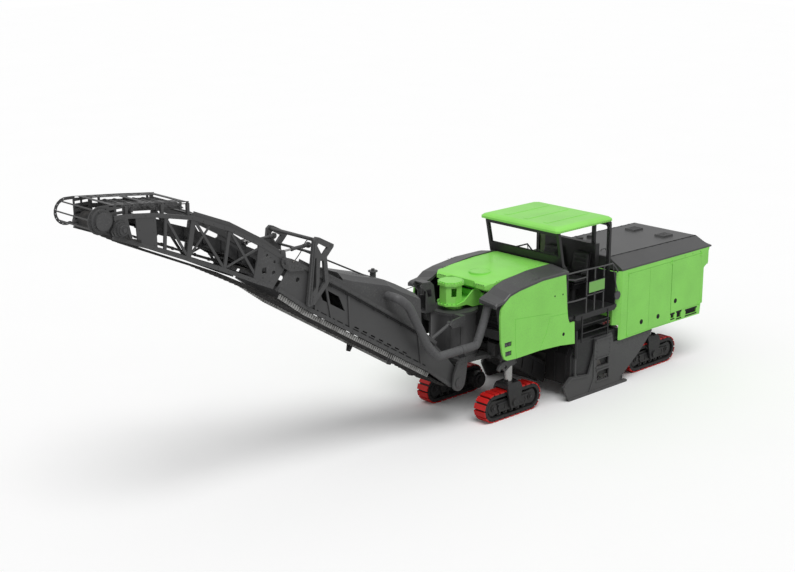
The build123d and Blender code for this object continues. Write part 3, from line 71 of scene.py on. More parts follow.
# Millimetres: the slewing bearing's station, and the heights of its flange and cap
SLEW_X = 3120
BEARING_Z = 2460
CAP_Z = 2905

# Millimetres: the lift pin and the head drum as (x, z), a crawler's pivot height and its end wheels' place
LIFT_PIN = (3560, 980)
HEAD_DRUM = (11400, 5445)
PIVOT_Z = 325
WHEEL_X = 567.5
WHEEL_Z = 305

# Edges that bend more than this are shaded sharp
SHARP_ANGLE = math.radians(35)
SIDES = ((1, "left"), (-1, "right"))
CRAWLERS = (("fl", 2240, 1), ("fr", 2240, -1), ("rl", -2490, 1), ("rr", -2490, -1))


def turns(count):
    """Evenly spaced angles round one full turn."""
    return [2 * math.pi * k / count for k in range(count)]


# Camera at the photograph's view
CAMERA_PLACE = (20.877, 21.068, 11.115)
CAMERA_AIM = (-0.66653, -0.69656, -0.26560)
cam_data = bpy.data.cameras.new("camera")
cam = bpy.data.objects.new("camera", cam_data)
bpy.context.collection.objects.link(cam)
cam.location = CAMERA_PLACE
cam.rotation_mode = "QUATERNION"
cam.rotation_quaternion = Vector(CAMERA_AIM).to_track_quat("-Z", "Y")
cam_data.lens = 69.28
cam_data.sensor_width = 36
cam_data.clip_end = 300
bpy.context.scene.camera = cam
bpy.context.scene.view_settings.view_transform = "Standard"


# Materials
class Mat:
    """A node material built step by step in the object's own coordinates."""

    def __init__(self, name):
        self.m = bpy.data.materials.new(name)
        self.m.use_nodes = True
        self.t = self.m.node_tree
        self.b = self.t.nodes["Principled BSDF"]
        self.coord = self.node("ShaderNodeTexCoord").outputs["Object"]

    def node(self, kind, **values):
        n = self.t.nodes.new(kind)
        for key, value in values.items():
            setattr(n, key, value)
        return n

    def link(self, a, b):
        self.t.links.new(a, b)

    def feed(self, socket, value):
        """Sets a colour or a number on a socket, or links another node's output to it."""
        if isinstance(value, tuple):
            socket.default_value = value[:3] + (1,)
        elif isinstance(value, (float, int)):
            socket.default_value = value
        else:
            self.link(value, socket)

    def put(self, name, value):
        """Feeds one of the surface shader's inputs."""
        self.feed(self.b.inputs[name], value)

    def noise(self, scale, detail, rough, stretch=None):
        n = self.node("ShaderNodeTexNoise")
        n.inputs["Scale"].default_value = scale
        n.inputs["Detail"].default_value = detail
        n.inputs["Roughness"].default_value = rough
        if stretch:
            m = self.node("ShaderNodeMapping")
            m.inputs["Scale"].default_value = stretch
            self.link(self.coord, m.inputs["Vector"])
            self.link(m.outputs["Vector"], n.inputs["Vector"])
        else:
            self.link(self.coord, n.inputs["Vector"])
        return n.outputs["Fac"]

    def ramp(self, fac, stops):
        n = self.node("ShaderNodeValToRGB")
        for e, (pos, value) in zip(n.color_ramp.elements, stops):
            e.position = pos
            e.color = (value, value, value, 1)
        self.link(fac, n.inputs["Fac"])
        return n.outputs["Color"]

    def math(self, op, a, b=0.0):
        n = self.node("ShaderNodeMath", operation=op)
        for socket, value in zip(n.inputs, (a, b)):
            self.feed(socket, value)
        return n.outputs[0]

    def mix(self, fac, a, b):
        n = self.node("ShaderNodeMix", data_type="RGBA")
        for socket, value in ((n.inputs[0], fac), (n.inputs[6], a), (n.inputs[7], b)):
            self.feed(socket, value)
        return n.outputs[2]

    def axes(self):
        n = self.node("ShaderNodeSeparateXYZ")
        self.link(self.coord, n.inputs[0])
        return n.outputs

    def bump(self, height, strength, distance):
        n = self.node("ShaderNodeBump")
        n.inputs["Strength"].default_value = strength
        n.inputs["Distance"].default_value = distance
        self.link(height, n.inputs["Height"])
        self.put("Normal", n.outputs["Normal"])


def rgba(r, g, b):
    return (r, g, b, 1)


def shade(c, k):
    return (c[0] * k, c[1] * k, c[2] * k, 1)


def painted(name, colour, rough, dirt, wear, worn):
    """Sprayed paint: slight tone drift, a finer orange peel, worn edges and road dust low on the machine."""
    m = Mat(name)
    drift = m.noise(1.7, 3, 0.5)
    speck = m.noise(38, 6, 0.7)
    base = m.mix(m.ramp(drift, [(0.3, 0.0), (0.7, 1.0)]), shade(colour, 0.94), shade(colour, 1.05))
    height = m.axes()[2]
    dust = m.math("MULTIPLY", m.noise(5.5, 8, 0.65), 0.9)
    low = m.ramp(m.math("ADD", m.math("MULTIPLY", height, -0.55), dust), [(0.12, 0.0), (0.62, 1.0)])
    base = m.mix(m.math("MULTIPLY", low, dirt), base, rgba(0.115, 0.105, 0.092))
    point = m.node("ShaderNodeNewGeometry").outputs["Pointiness"]
    edge = m.ramp(point, [(0.515, 0.0), (0.56, 1.0)])
    rub = m.math("MULTIPLY", m.math("MULTIPLY", edge, m.ramp(speck, [(0.5, 0.0), (0.66, 1.0)])), wear)
    m.put("Base Color", m.mix(rub, base, worn))
    matt = m.math("ADD", m.math("MULTIPLY", speck, 0.35), m.math("MULTIPLY", low, 0.4))
    m.put("Roughness", m.ramp(matt, [(0.1, rough - 0.06), (0.7, min(1.0, rough + 0.2))]))
    m.put("Coat Weight", 0.15)
    m.put("Coat Roughness", 0.25)
    m.bump(m.noise(260, 3, 0.5), 0.06, 0.002)
    return m.m


def chrome():
    m = Mat("chrome")
    streak = m.noise(9, 4, 0.6, stretch=(30, 30, 1))
    tone = m.ramp(streak, [(0.35, 0.0), (0.75, 1.0)])
    m.put("Base Color", m.mix(tone, rgba(0.62, 0.61, 0.61), rgba(0.50, 0.49, 0.48)))
    m.put("Metallic", 1.0)
    m.put("Roughness", m.ramp(streak, [(0.3, 0.16), (0.8, 0.30)]))
    return m.m


def steel(name, colour, rough):
    m = Mat(name)
    grain = m.noise(14, 8, 0.7)
    fine = m.noise(90, 5, 0.6)
    tone = m.ramp(grain, [(0.35, 0.0), (0.7, 1.0)])
    m.put("Base Color", m.mix(tone, shade(colour, 0.7), shade(colour, 1.15)))
    m.put("Metallic", 0.75)
    m.put("Roughness", m.ramp(fine, [(0.2, rough - 0.12), (0.8, rough + 0.12)]))
    m.bump(fine, 0.25, 0.004)
    return m.m


def rubber(name, colour, scale=60, rough=0.72):
    m = Mat(name)
    dust = m.noise(4.5, 6, 0.7)
    fine = m.noise(scale, 5, 0.65)
    m.put("Base Color", m.mix(m.ramp(dust, [(0.42, 0.0), (0.75, 1.0)]), colour, rgba(0.085, 0.080, 0.074)))
    m.put("Roughness", m.ramp(fine, [(0.2, rough - 0.1), (0.8, min(1, rough + 0.12))]))
    m.put("Specular IOR Level", 0.35)
    m.bump(fine, 0.3, 0.003)
    return m.m


def duct_wall(name, colour):
    """A smooth pipe wall with a mottled tone and a fine grain."""
    m = Mat(name)
    fine = m.noise(24, 5, 0.6)
    m.put("Base Color", m.mix(m.ramp(fine, [(0.35, 0.0), (0.75, 1.0)]), colour, shade(colour, 1.35)))
    m.put("Roughness", m.ramp(fine, [(0.2, 0.42), (0.8, 0.62)]))
    m.bump(m.noise(140, 3, 0.5), 0.12, 0.002)
    return m.m


def track_material(name, centre_x):
    """Red outer pads over a black chain, split by the distance from the loop's middle line."""
    m = Mat(name)
    x, _, z = m.axes()
    dx = m.math("SUBTRACT", m.math("ABSOLUTE", m.math("SUBTRACT", x, centre_x)), TRACK_HALF)
    dx = m.math("MAXIMUM", dx, 0.0)
    dz = m.math("SUBTRACT", z, TRACK_R)
    r = m.math("SQRT", m.math("ADD", m.math("MULTIPLY", dx, dx), m.math("MULTIPLY", dz, dz)))
    edge = m.math("ADD", r, m.math("MULTIPLY", m.math("SUBTRACT", m.noise(30, 5, 0.6), 0.5), 0.004))
    split = m.ramp(m.math("SUBTRACT", edge, RAMP_SHIFT), [(0.472, 0.0), (0.475, 1.0)])
    scuff = m.noise(22, 8, 0.72)
    red = m.mix(m.ramp(scuff, [(0.5, 0.0), (0.8, 1.0)]), rgba(0.60, 0.008, 0.006), rgba(0.38, 0.012, 0.010))
    wear_zone = m.ramp(m.math("SUBTRACT", r, RAMP_SHIFT), [(0.494, 0.0), (0.502, 1.0)])
    tread = m.math("MULTIPLY", wear_zone, m.ramp(m.noise(55, 6, 0.7), [(0.42, 0.15), (0.66, 0.8)]))
    ground = m.ramp(z, [(0.02, 1.0), (0.10, 0.0)])
    red = m.mix(m.math("MULTIPLY", tread, m.math("MULTIPLY", ground, 0.8)), red, rgba(0.10, 0.045, 0.04))
    oily = m.ramp(scuff, [(0.4, 0.0), (0.7, 1.0)])
    chain = m.mix(oily, rgba(0.012, 0.012, 0.013), rgba(0.035, 0.034, 0.033))
    m.put("Base Color", m.mix(split, chain, red))
    m.put("Roughness", m.ramp(scuff, [(0.2, 0.42), (0.8, 0.62)]))
    m.bump(m.noise(120, 4, 0.6), 0.2, 0.003)
    return m.m


def glass():
    m = Mat("clear_glass")
    m.put("Base Color", rgba(0.99, 1.0, 0.99))
    m.put("Transmission Weight", 1.0)
    m.put("IOR", 1.03)
    smear = m.noise(3.5, 6, 0.7, stretch=(1, 1, 3))
    m.put("Roughness", m.ramp(smear, [(0.5, 0.0), (0.8, 0.03)]))
    return m.m


def plastic(name, colour, rough=0.5, scale=180):
    m = Mat(name)
    grain = m.noise(scale, 4, 0.55)
    soft = m.noise(3, 4, 0.6)
    tone = m.ramp(soft, [(0.35, 0.0), (0.7, 1.0)])
    m.put("Base Color", m.mix(tone, shade(colour, 0.85), shade(colour, 1.2)))
    m.put("Roughness", m.ramp(grain, [(0.3, rough - 0.08), (0.7, rough + 0.1)]))
    m.bump(grain, 0.2, 0.0012)
    return m.m


def lens(name, colour):
    """Ribbed lamp glass."""
    m = Mat(name)
    ribs = m.node("ShaderNodeTexWave", wave_type="BANDS", bands_direction="X")
    ribs.inputs["Scale"].default_value = 60
    m.link(m.coord, ribs.inputs["Vector"])
    m.put("Base Color", m.mix(ribs.outputs["Fac"], shade(colour, 0.6), shade(colour, 1.2)))
    m.put("Roughness", 0.12)
    m.put("Coat Weight", 0.8)
    m.bump(ribs.outputs["Fac"], 0.3, 0.002)
    return m.m


# Paints: name, colour, roughness, share of dust, share of wear, colour of worn edges
PAINTS = {
    "green": ("green_paint", (0.285, 0.79, 0.125), 0.42, 0.10, 0.25, (0.16, 0.30, 0.12, 1)),
    "grey": ("grey_paint", (0.068, 0.068, 0.069), 0.48, 0.18, 0.45, (0.16, 0.16, 0.16, 1)),
    "hood_grey": ("hood_grey_paint", (0.074, 0.074, 0.075), 0.5, 0.12, 0.35, (0.17, 0.17, 0.17, 1)),
    "black": ("black_paint", (0.017, 0.017, 0.018), 0.5, 0.22, 0.4, (0.07, 0.07, 0.07, 1)),
    "sign": ("sign_green", (0.20, 0.50, 0.10), 0.35, 0.05, 0.2, (0.3, 0.4, 0.3, 1)),
}
mats = {key: painted(*row) for key, row in PAINTS.items()}
mats["chrome"] = chrome()
mats["steel"] = steel("worn_steel", (0.20, 0.19, 0.18), 0.5)
mats["iron"] = steel("engine_casting", (0.11, 0.11, 0.11), 0.62)
mats["bolt"] = steel("bolt_steel", (0.12, 0.12, 0.12), 0.45)
# Light grey cleats: a painted highlight that lifts the belt edge's fins out of their shade
mats["cleat"] = rubber("cleats_painted_highlight", rgba(0.42, 0.42, 0.41), 60, 0.6)
mats["belt"] = rubber("belt_rubber", rgba(0.022, 0.022, 0.023))
mats["hose"] = rubber("hose_rubber", rgba(0.014, 0.014, 0.015), 110, 0.55)
mats["duct"] = duct_wall("duct_grey", (0.085, 0.085, 0.087))
mats["track_front"] = track_material("track_pads_front", FRONT_X)
mats["track_rear"] = track_material("track_pads_rear", REAR_X)
mats["glass"] = glass()
mats["plastic"] = plastic("black_plastic", (0.02, 0.02, 0.021))
mats["vinyl"] = plastic("seat_vinyl", (0.018, 0.018, 0.019), 0.58, 260)
# Black parts, and the dark sheets that paint shade in holes, slots, vents, a crease and behind the front
# panels
mats["dark"] = plastic("black_and_painted_shade", (0.006, 0.006, 0.0065), 0.7, 120)
mats["tint"] = plastic("tinted_panel", (0.11, 0.17, 0.060), 0.22, 300)
mats["lens"] = lens("lamp_lens", (0.045, 0.046, 0.048))

# The nodes that each material is on
FINISH = {
    "green": ("front_panels", "centre_hood", "nose", "canopy_roof", "rear_shell",
              "door_la", "door_lb", "door_lc", "door_ra", "door_rb", "door_rc"),
    "grey": ("main_frame", "tow_hooks", "shoulder_covers", "side_plate_left", "side_plate_right",
             "slew_column", "inner_boom", "outer_boom", "portal", "hopper", "head_guard", "guard_rails",
             "lift_barrels", "fold_barrels", "head_drum"),
    "hood_grey": ("rear_hood",),
    "black": ("platform", "canopy_frame", "drum_housing", "primary_conveyor", "rear_grille", "tank_body",
              "yoke_fl", "yoke_fr", "yoke_rl", "yoke_rr"),
    "chrome": ("column_fl", "column_fr", "column_rl", "column_rr", "lift_rods", "fold_rods"),
    "steel": ("milling_drum", "drum_picks"),
    "iron": ("engine_block",),
    "belt": ("inner_belt", "outer_belt", "primary_belt"),
    "duct": ("duct_rear", "duct_front"),
    "track_front": ("track_fl", "track_fr"),
    "track_rear": ("track_rl", "track_rr"),
    "glass": ("windscreen",),
    "plastic": ("operator_station",),
    "vinyl": ("seats",),
    "lens": ("lamps",),
}
for key, nodes in FINISH.items():
    for node in nodes:
        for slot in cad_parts[node].material_slots:
            slot.material = mats[key]


# Tools for the pieces of this scene, in millimetres from the part's datum
class Piece:
    """Gathers plain shapes in one mesh that rides on a body."""

    def __init__(self, name, mat, body):
        self.name = name
        self.mat = mat
        self.body = body
        self.bm = bmesh.new()

    def rings(self, rows):
        """A closed skin through rows of points, each row a closed ring."""
        made = [[self.bm.verts.new(p) for p in row] for row in rows]
        n = len(made[0])
        for a, b in zip(made, made[1:]):
            for i in range(n):
                j = (i + 1) % n
                self.bm.faces.new((a[i], a[j], b[j], b[i]))
        self.bm.faces.new(made[0][::-1])
        self.bm.faces.new(made[-1])

    def sweep(self, points, radii, n):
        """A round bar along points, each with its radius; the frame turns as little as it can."""
        pts = [Vector(p) for p in points]
        if not isinstance(radii, (list, tuple)):
            radii = [radii] * len(pts)
        last = len(pts) - 1
        rows = []
        up = None
        for i, (p, r) in enumerate(zip(pts, radii)):
            way = (pts[min(i + 1, last)] - pts[max(i - 1, 0)]).normalized()
            if up is None:
                up = way.orthogonal().normalized()
            up = (up - way * up.dot(way)).normalized()
            side = way.cross(up)
            rows.append([p + (up * math.cos(t) + side * math.sin(t)) * r for t in turns(n)])
        self.rings(rows)

    def cyl(self, a, b, r, n, edge=1.5):
        """A round bar from a to b with a small bevel at its ends."""
        a, b = Vector(a), Vector(b)
        way = (b - a).normalized() * edge
        self.sweep([a, a + way, b - way, b], [r - edge, r, r, r - edge], n)

    def box(self, lo, hi, edge):
        """A block between two corners with bevelled edges."""
        lo, hi = Vector(lo), Vector(hi)
        lo, hi = Vector(map(min, lo, hi)), Vector(map(max, lo, hi))
        verts = [self.bm.verts.new((x, y, z))
                 for x in (lo.x, hi.x) for y in (lo.y, hi.y) for z in (lo.z, hi.z)]
        faces = [self.bm.faces.new([verts[i] for i in ids]) for ids in
                 ((0, 1, 3, 2), (4, 6, 7, 5), (0, 4, 5, 1), (2, 3, 7, 6), (0, 2, 6, 4), (1, 5, 7, 3))]
        edges = list({e for f in faces for e in f.edges})
        edge = min(edge, 0.3 * min(hi - lo))
        bmesh.ops.bevel(self.bm, geom=edges, offset=edge, segments=1, affect="EDGES")

    def plate(self, outline, y0, y1):
        """A flat plate with an outline of (x, z) points, from y0 to y1."""
        self.rings([[Vector((x, y, z)) for x, z in outline] for y in (y0, y1)])

    def bolt(self, p, way, r, h):
        """A washer and a six-sided head that stand on a surface at p."""
        p = Vector(p)
        way = Vector(way).normalized()
        self.sweep([p - way * 0.6, p + way * 1.2, p + way * 2.4], [r * 1.45, r * 1.45, r * 1.3], 14)
        self.sweep([p + way * 2.2, p + way * (h - 1.2), p + way * h], [r, r, r * 0.8], 6)

    def side_bolts(self, side, rows):
        """Bolts with their heads outward; a row has the face's distance, (x, z) spots, radius, height."""
        for face, spots, r, h in rows:
            for x, z in spots:
                self.bolt((x, side * face, z), (0, side, 0), r, h)

    def done(self):
        """Makes the object in metres, with its material, and lets it ride on its body if it has one."""
        bmesh.ops.scale(self.bm, vec=(MM, MM, MM), verts=self.bm.verts)
        bmesh.ops.translate(self.bm, vec=(-MID, 0, 0), verts=self.bm.verts)
        bmesh.ops.recalc_face_normals(self.bm, faces=self.bm.faces)
        for f in self.bm.faces:
            f.smooth = True
        for e in self.bm.edges:
            if len(e.link_faces) == 2 and e.calc_face_angle(0) > SHARP_ANGLE:
                e.smooth = False
        mesh = bpy.data.meshes.new(self.name)
        self.bm.to_mesh(mesh)
        self.bm.free()
        mesh.materials.append(mats[self.mat])
        o = bpy.data.objects.new(self.name, mesh)
        bpy.context.collection.objects.link(o)
        if self.body:
            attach(o, self.body)
        return o


def smooth_line(points, count):
    """Points read off a smooth curve that has the given points as its control points."""
    data = bpy.data.curves.new("guide", "CURVE")
    data.dimensions = "3D"
    line = data.splines.new("NURBS")
    line.points.add(len(points) - 1)
    for p, c in zip(line.points, points):
        p.co = tuple(c) + (1,)
    line.order_u = 3
    line.use_endpoint_u = True
    line.resolution_u = max(2, count // max(1, len(points) - 1))
    o = bpy.data.objects.new("guide", data)
    bpy.context.collection.objects.link(o)
    mesh = bpy.data.meshes.new_from_object(o)
    found = [v.co.copy() for v in mesh.vertices]
    bpy.data.objects.remove(o)
    return found


def ring_spots(cx, cy, r, count, turn=0.0):
    """Spots at a steady pitch round a circle."""
    return [(cx + r * math.cos(turn + t), cy + r * math.sin(turn + t)) for t in turns(count)]


def along(points, pitch, inset=0.0):
    """Spots at a steady pitch along a line of (x, z) points."""
    spots = []
    left = inset
    for (x0, z0), (x1, z1) in zip(points, points[1:]):
        size = math.hypot(x1 - x0, z1 - z0)
        while left < size:
            spots.append((x0 + (x1 - x0) * left / size, z0 + (z1 - z0) * left / size))
            left += pitch
        left -= size
    return spots


# Suction ducts, smooth bent pipes
DUCT_R = 87
DUCT_Y = 900
DUCT_Z = 1765
REAR_DUCT = [(2975, 930, 2619), (3010, 918, 2470), (3060, DUCT_Y, 2250), (3160, DUCT_Y, 2035),
             (3225, DUCT_Y, 1895), (3262, DUCT_Y, 1822), (3300, DUCT_Y, DUCT_Z), (3400, DUCT_Y, DUCT_Z),
             (3560, DUCT_Y, DUCT_Z), (3741, DUCT_Y, DUCT_Z)]
FRONT_DUCT = [(3749, DUCT_Y, DUCT_Z), (4000, DUCT_Y, DUCT_Z), (4300, DUCT_Y, DUCT_Z), (4385, DUCT_Y, DUCT_Z),
              (4460, DUCT_Y, 1832), (4560, DUCT_Y, 1932), (4690, DUCT_Y, 2080), (4760, 896, 2210),
              (4900, 888, 2470), (5060, 872, 2770), (5150, 862, 2940), (5290, 845, 3060),
              (5400, 826, 3140), (5420, 760, 3150), (5420, 640, 3150), (5420, 541, 3150)]

# Each duct's points, and its collars as shares of its length
DUCTS = {
    "rear": (REAR_DUCT, (0.02, 0.5, 0.97)),
    "front": (FRONT_DUCT, (0.02, 0.33, 0.62, 0.95)),
}
for tag, (line, collars) in DUCTS.items():
    duct = Piece("suction_duct_" + tag, "duct", None)
    path = smooth_line(line, 90)
    duct.sweep(path, DUCT_R, 36)
    for share in collars:
        i = int(share * (len(path) - 2))
        way = (path[i + 1] - path[i]).normalized()
        duct.sweep([path[i] + way * k for k in (-20, -16, 16, 20)],
                   [DUCT_R - 1, DUCT_R + 4, DUCT_R + 4, DUCT_R - 1], 36)
    duct = duct.done()
    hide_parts("duct_" + tag)
    if tag == "rear":
        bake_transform(duct)
    else:
        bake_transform(duct)


# Operator's seats: crowned cushions with sewn channels on a plain frame
PAD_ROWS = 28
PAD_COLUMNS = 32


def cushion(bm, centre, x_way, y_way, z_way, half, thick, channels, across):
    """A closed pad: crowned faces, sides that pull in between the corners, channels pressed across it."""
    top, low = {}, {}
    for i in range(PAD_ROWS + 1):
        for j in range(PAD_COLUMNS + 1):
            u = -1 + 2 * i / PAD_ROWS
            v = -1 + 2 * j / PAD_COLUMNS
            uu = math.copysign(abs(u) ** 0.9, u)
            vv = math.copysign(abs(v) ** 0.9, v)
            full = (1 - abs(uu) ** 5) ** 0.42 * (1 - abs(vv) ** 5) ** 0.42
            pull_u = 1 - 0.045 * (1 - vv * vv)
            pull_v = 1 - 0.045 * (1 - uu * uu)
            corner = 1 - 0.11 * (abs(uu) * abs(vv)) ** 6
            x = half[0] * uu * pull_v * corner
            y = half[1] * vv * pull_u * corner
            press = sum(math.exp(-((vv if across else uu) - c) ** 2 / 0.0016) for c in channels)
            crown = 0.74 + 0.26 * math.cos(uu * 1.3) * math.cos(vv * 1.3)
            rise = thick * full * crown - 9 * press * full
            base = centre + x_way * x + y_way * y
            top[i, j] = bm.verts.new(base + z_way * rise)
            edge = i in (0, PAD_ROWS) or j in (0, PAD_COLUMNS)
            low[i, j] = top[i, j] if edge else bm.verts.new(base - z_way * (thick * 0.34 * full))
    for i in range(PAD_ROWS):
        for j in range(PAD_COLUMNS):
            bm.faces.new((top[i, j], top[i + 1, j], top[i + 1, j + 1], top[i, j + 1]))
            bm.faces.new((low[i, j], low[i, j + 1], low[i + 1, j + 1], low[i + 1, j]))


# Arm pad sections as (x, half width, half height), and the back shell's outline
ARM_PAD = ((-468, 8, 6), (-455, 24, 17), (-340, 27, 20), (-220, 25, 18), (-203, 8, 6))
BACK_SHELL = [(-478, 2360), (-520, 2430), (-600, 2900), (-582, 2955),
              (-560, 2955), (-572, 2900), (-492, 2435), (-455, 2378)]
lean = Vector((-0.17, 0, 1)).normalized()
for side, tag in SIDES:
    yc = side * SEAT_Y
    pad = Piece("seat_cushions_" + tag, "vinyl", "chassis")
    cushion(pad.bm, Vector((-268, yc, 2385)), Vector((1, 0, 0.03)), Vector((0, 1, 0)), Vector((0, 0, 1)),
            (205, 232), 66, (-0.5, 0.5), True)
    cushion(pad.bm, Vector((-506, yc, 2700)), lean, Vector((0, 1, 0)), Vector((1, 0, 0.17)).normalized(),
            (262, 220), 58, (-0.35, 0.25, 0.62), False)
    for arm in (1, -1):
        y = yc + arm * 272
        pad.rings([[Vector((x, y + w * math.cos(t), 2580 + h * math.sin(t))) for t in turns(16)]
                   for x, w, h in ARM_PAD])
    pad = pad.done()
    pad.modifiers.new("soft", "SUBSURF").levels = 1
    base = Piece("seat_frame_" + tag, "plastic", "chassis")
    base.box((-470, yc - 205, 2322), (-90, yc + 205, 2348), 8)
    for k in range(5):
        fold_z = 2300 - 22 * k
        base.box((-410 + k * 6, yc - 130 + k * 4, fold_z - 18), (-130 - k * 6, yc + 130 - k * 4, fold_z), 6)
    base.cyl((-270, yc, 1903), (-270, yc, 2200), 70, 24)
    base.box((-430, yc - 170, 1901), (-110, yc + 170, 1925), 5)
    base.plate(BACK_SHELL, yc - 212, yc + 212)
    for arm in (1, -1):
        y = yc + arm * 262
        base.sweep([(-470, y - arm * 30, 2390), (-478, y, 2440), (-476, y, 2540), (-440, y, 2566),
                    (-230, y, 2566)], 11, 10)
    base = base.done()
    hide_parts("seats")


# Bolts of the fixed body: slewing bearing flange and cap, tow hook posts, windscreen cowl, rear shell
b = Piece("body_bolts", "bolt", "chassis")
for x, y in ring_spots(SLEW_X, 0, 246, 16, 0.1):
    b.bolt((x, y, BEARING_Z), (0, 0, 1), 10, 9)
for a in turns(8):
    for off in (-68, 0, 68):
        x = SLEW_X + 250 * math.cos(a) - off * math.sin(a)
        y = 250 * math.sin(a) + off * math.cos(a)
        b.bolt((x, y, CAP_Z), (0, 0, 1), 6, 5)
for side in (1, -1):
    b.side_bolts(side, [(1090, [(x, z) for x in (2362, 2438) for z in (1400, 1500, 1600)], 12, 10)])
    for y in (300, 480, 660, 840):
        b.bolt((824, side * y, 2958), (0.7, 0, 0.7), 6, 4)
    b.side_bolts(side, [(PANEL_Y, [(x, 2548) for x in (-3800, -3500, -3200)], 7, 5)])
b.done()

# Bolts of the edge plates: along the wear strip, over the guide pads and along the upper edge
for side, tag in SIDES:
    b = Piece("edge_bolts_" + tag, "bolt", tag + "_edge_plate")
    b.side_bolts(side, [
        (1230, [(x, 32) for x in range(600, -1151, -250)], 10, 8),
        (EDGE_PLATE_Y, [(x, z) for x in (-640, -207) for z in (830, 930, 1030, 1120)], 12, 9),
        (EDGE_PLATE_Y, along([(-900, 960), (-2000, 960)], 180), 9, 7)])
    b.done()

# Bolts of the slewing column, the booms and the head
b = Piece("slew_bolts", "bolt", "slew_frame")
for side in (1, -1):
    b.side_bolts(side, [
        (708, ring_spots(*LIFT_PIN, 82, 6), 9, 7),
        (690, [(3380, 1440), (3380, 1370), (3480, 1360), (3480, 1440)], 11, 9)])
for x, z in ((3480, 2440), (3540, 2440), (3600, 2900), (3700, 2915)):
    b.bolt((x, -130, z), (0, 1, 0), 9, 7)
b.done()
b = Piece("inner_boom_bolts", "bolt", "inner_conveyor")
for side in (1, -1):
    b.side_bolts(side, [
        (BOOM_Y, along([(4310, 1390), (7490, 3330)], 262, 80), 9, 8),
        (BOOM_Y, along([(4620, 2300), (6560, 3530), (7400, 4020)], 262, 60), 9, 8),
        (688, [(7412, 3470), (7398, 3540), (7290, 4590), (6965, 4425), (7120, 3760), (7180, 4200)], 10, 8),
        (645, [(7640, 4120), (7710, 4140), (7790, 4150), (7720, 4215), (7860, 4180)], 9, 8)])
b.done()
b = Piece("outer_boom_bolts", "bolt", "outer_conveyor")
top = [(8430, 4650), (9180, 5080), (9920, 5390), (10700, 5560), (11200, 5620)]
low = [(8560, 4010), (9300, 4370), (9850, 4610), (10750, 5010), (11100, 5150)]
for side in (1, -1):
    b.side_bolts(side, [
        (TRUSS_Y, along(top, 238, 40) + along(low, 238, 40), 8, 7),
        (HEAD_Y, [(8330, 3990), (8480, 4080), (8560, 4330), (8300, 4420), (8120, 4290), (8420, 4560)], 9, 7),
        (HEAD_Y, [(10740, 5070), (10740, 5280), (10740, 5480), (11020, 5190), (11020, 5360), (11020, 5520)],
         8, 6)])
for x, z in ring_spots(*HEAD_DRUM, 126, 8, math.pi / 8):
    b.bolt((x, 661, z), (0, 1, 0), 7, 6)
b.done()

# Crawler units: bolts on pivots, hubs and side cases
for tag, cx, side in CRAWLERS:
    b = Piece("crawler_bolts_" + tag, "bolt", "crawler_" + tag)
    cy = side * CRAWLER_Y
    for flip in (1, -1):
        for x, z in ring_spots(cx, PIVOT_Z, 55, 6):
            b.bolt((x, cy + flip * 242, z), (0, flip, 0), 8, 7)
        for x in (cx - WHEEL_X, cx + WHEEL_X):
            b.bolt((x, cy + flip * 158, WHEEL_Z), (0, flip, 0), 15, 7)
        for x in (-190, -95, 0, 95, 190):
            b.bolt((cx + x, cy + flip * 146, 372), (0, flip, 0), 7, 5)
    b.done()

# Door locks: black discs in the recesses, each with a keyed core
DOORS = (("a", -1670, 1310), ("b", -2280, 1310), ("c", -2910, 1550))
for tag, x, z in DOORS:
    for side, letter in ((1, "l"), (-1, "r")):
        lock = Piece("lock_" + letter + tag, "dark", "door_" + letter + tag + "_leaf")
        y = side * (PANEL_Y + 2)
        lock.cyl((x, y + side * 0.4, z), (x, y + side * 4, z), 56, 40)
        lock.cyl((x, y + side * 3, z), (x, y + side * 7, z), 34, 32)
        lock.box((x - 4, y + side * 6, z - 20), (x + 4, y + side * 9, z + 20), 1)
        lock.done()
panel_locks = Piece("panel_locks", "dark", "chassis")
for side in (1, -1):
    panel_locks.cyl((1000, side * 1254, 1590), (1000, side * 1263, 1590), 38, 28)
    panel_locks.box((996, side * 1261, 1578), (1004, side * 1264, 1602), 0.8)
    for x, z in ((1310, 2480), (1055, 2470)):
        panel_locks.cyl((x, side * PANEL_Y, z), (x, side * 1263, z), 19, 20)
panel_locks.done()

# Guard rails: round knobs at the rails' front ends as (x, radius) sections, and clamps
KNOB = [(-22, 8), (-19, 20), (-8, 29), (8, 29), (19, 20), (24, 8)]
knobs = Piece("rail_knobs", "plastic", "chassis")
for side in (1, -1):
    for x, z in ((990, 2858), (925, 2244)):
        knobs.rings([[Vector((x + dx, side * RAIL_Y + r * math.cos(t), z + r * math.sin(t)))
                      for t in turns(24)] for dx, r in KNOB])
    for x in (240, -30, -330):
        for z in (2270, 2600):
            knobs.cyl((x, side * RAIL_Y, z - 16), (x, side * RAIL_Y, z + 16), 23, 20)
knobs.done()

# Plain green sign faces on the rails, with a rivet at each corner
sign = Piece("sign_faces", "sign", "chassis")
for side in (1, -1):
    sign.box((-338, side * 1244.4, 2327), (178, side * 1247, 2558), 1)
    for x in (-318, 158):
        for z in (2345, 2540):
            sign.cyl((x, side * 1246, z), (x, side * 1249, z), 7, 12, 0.8)
sign.done()

# Tinted screen between the right rear hoop's legs
tint = Piece("rear_screen", "tint", "chassis")
tint.box((-752, -960, 2606), (-744, -622, 3576), 2)
tint.done()


# Windscreen rubber, wiper arm and blade
def screen_x(z):
    """The raked windscreen's rubber edge at a height."""
    return 851 + (962 - 860) / (3650 - 3190) * (z - 3190)


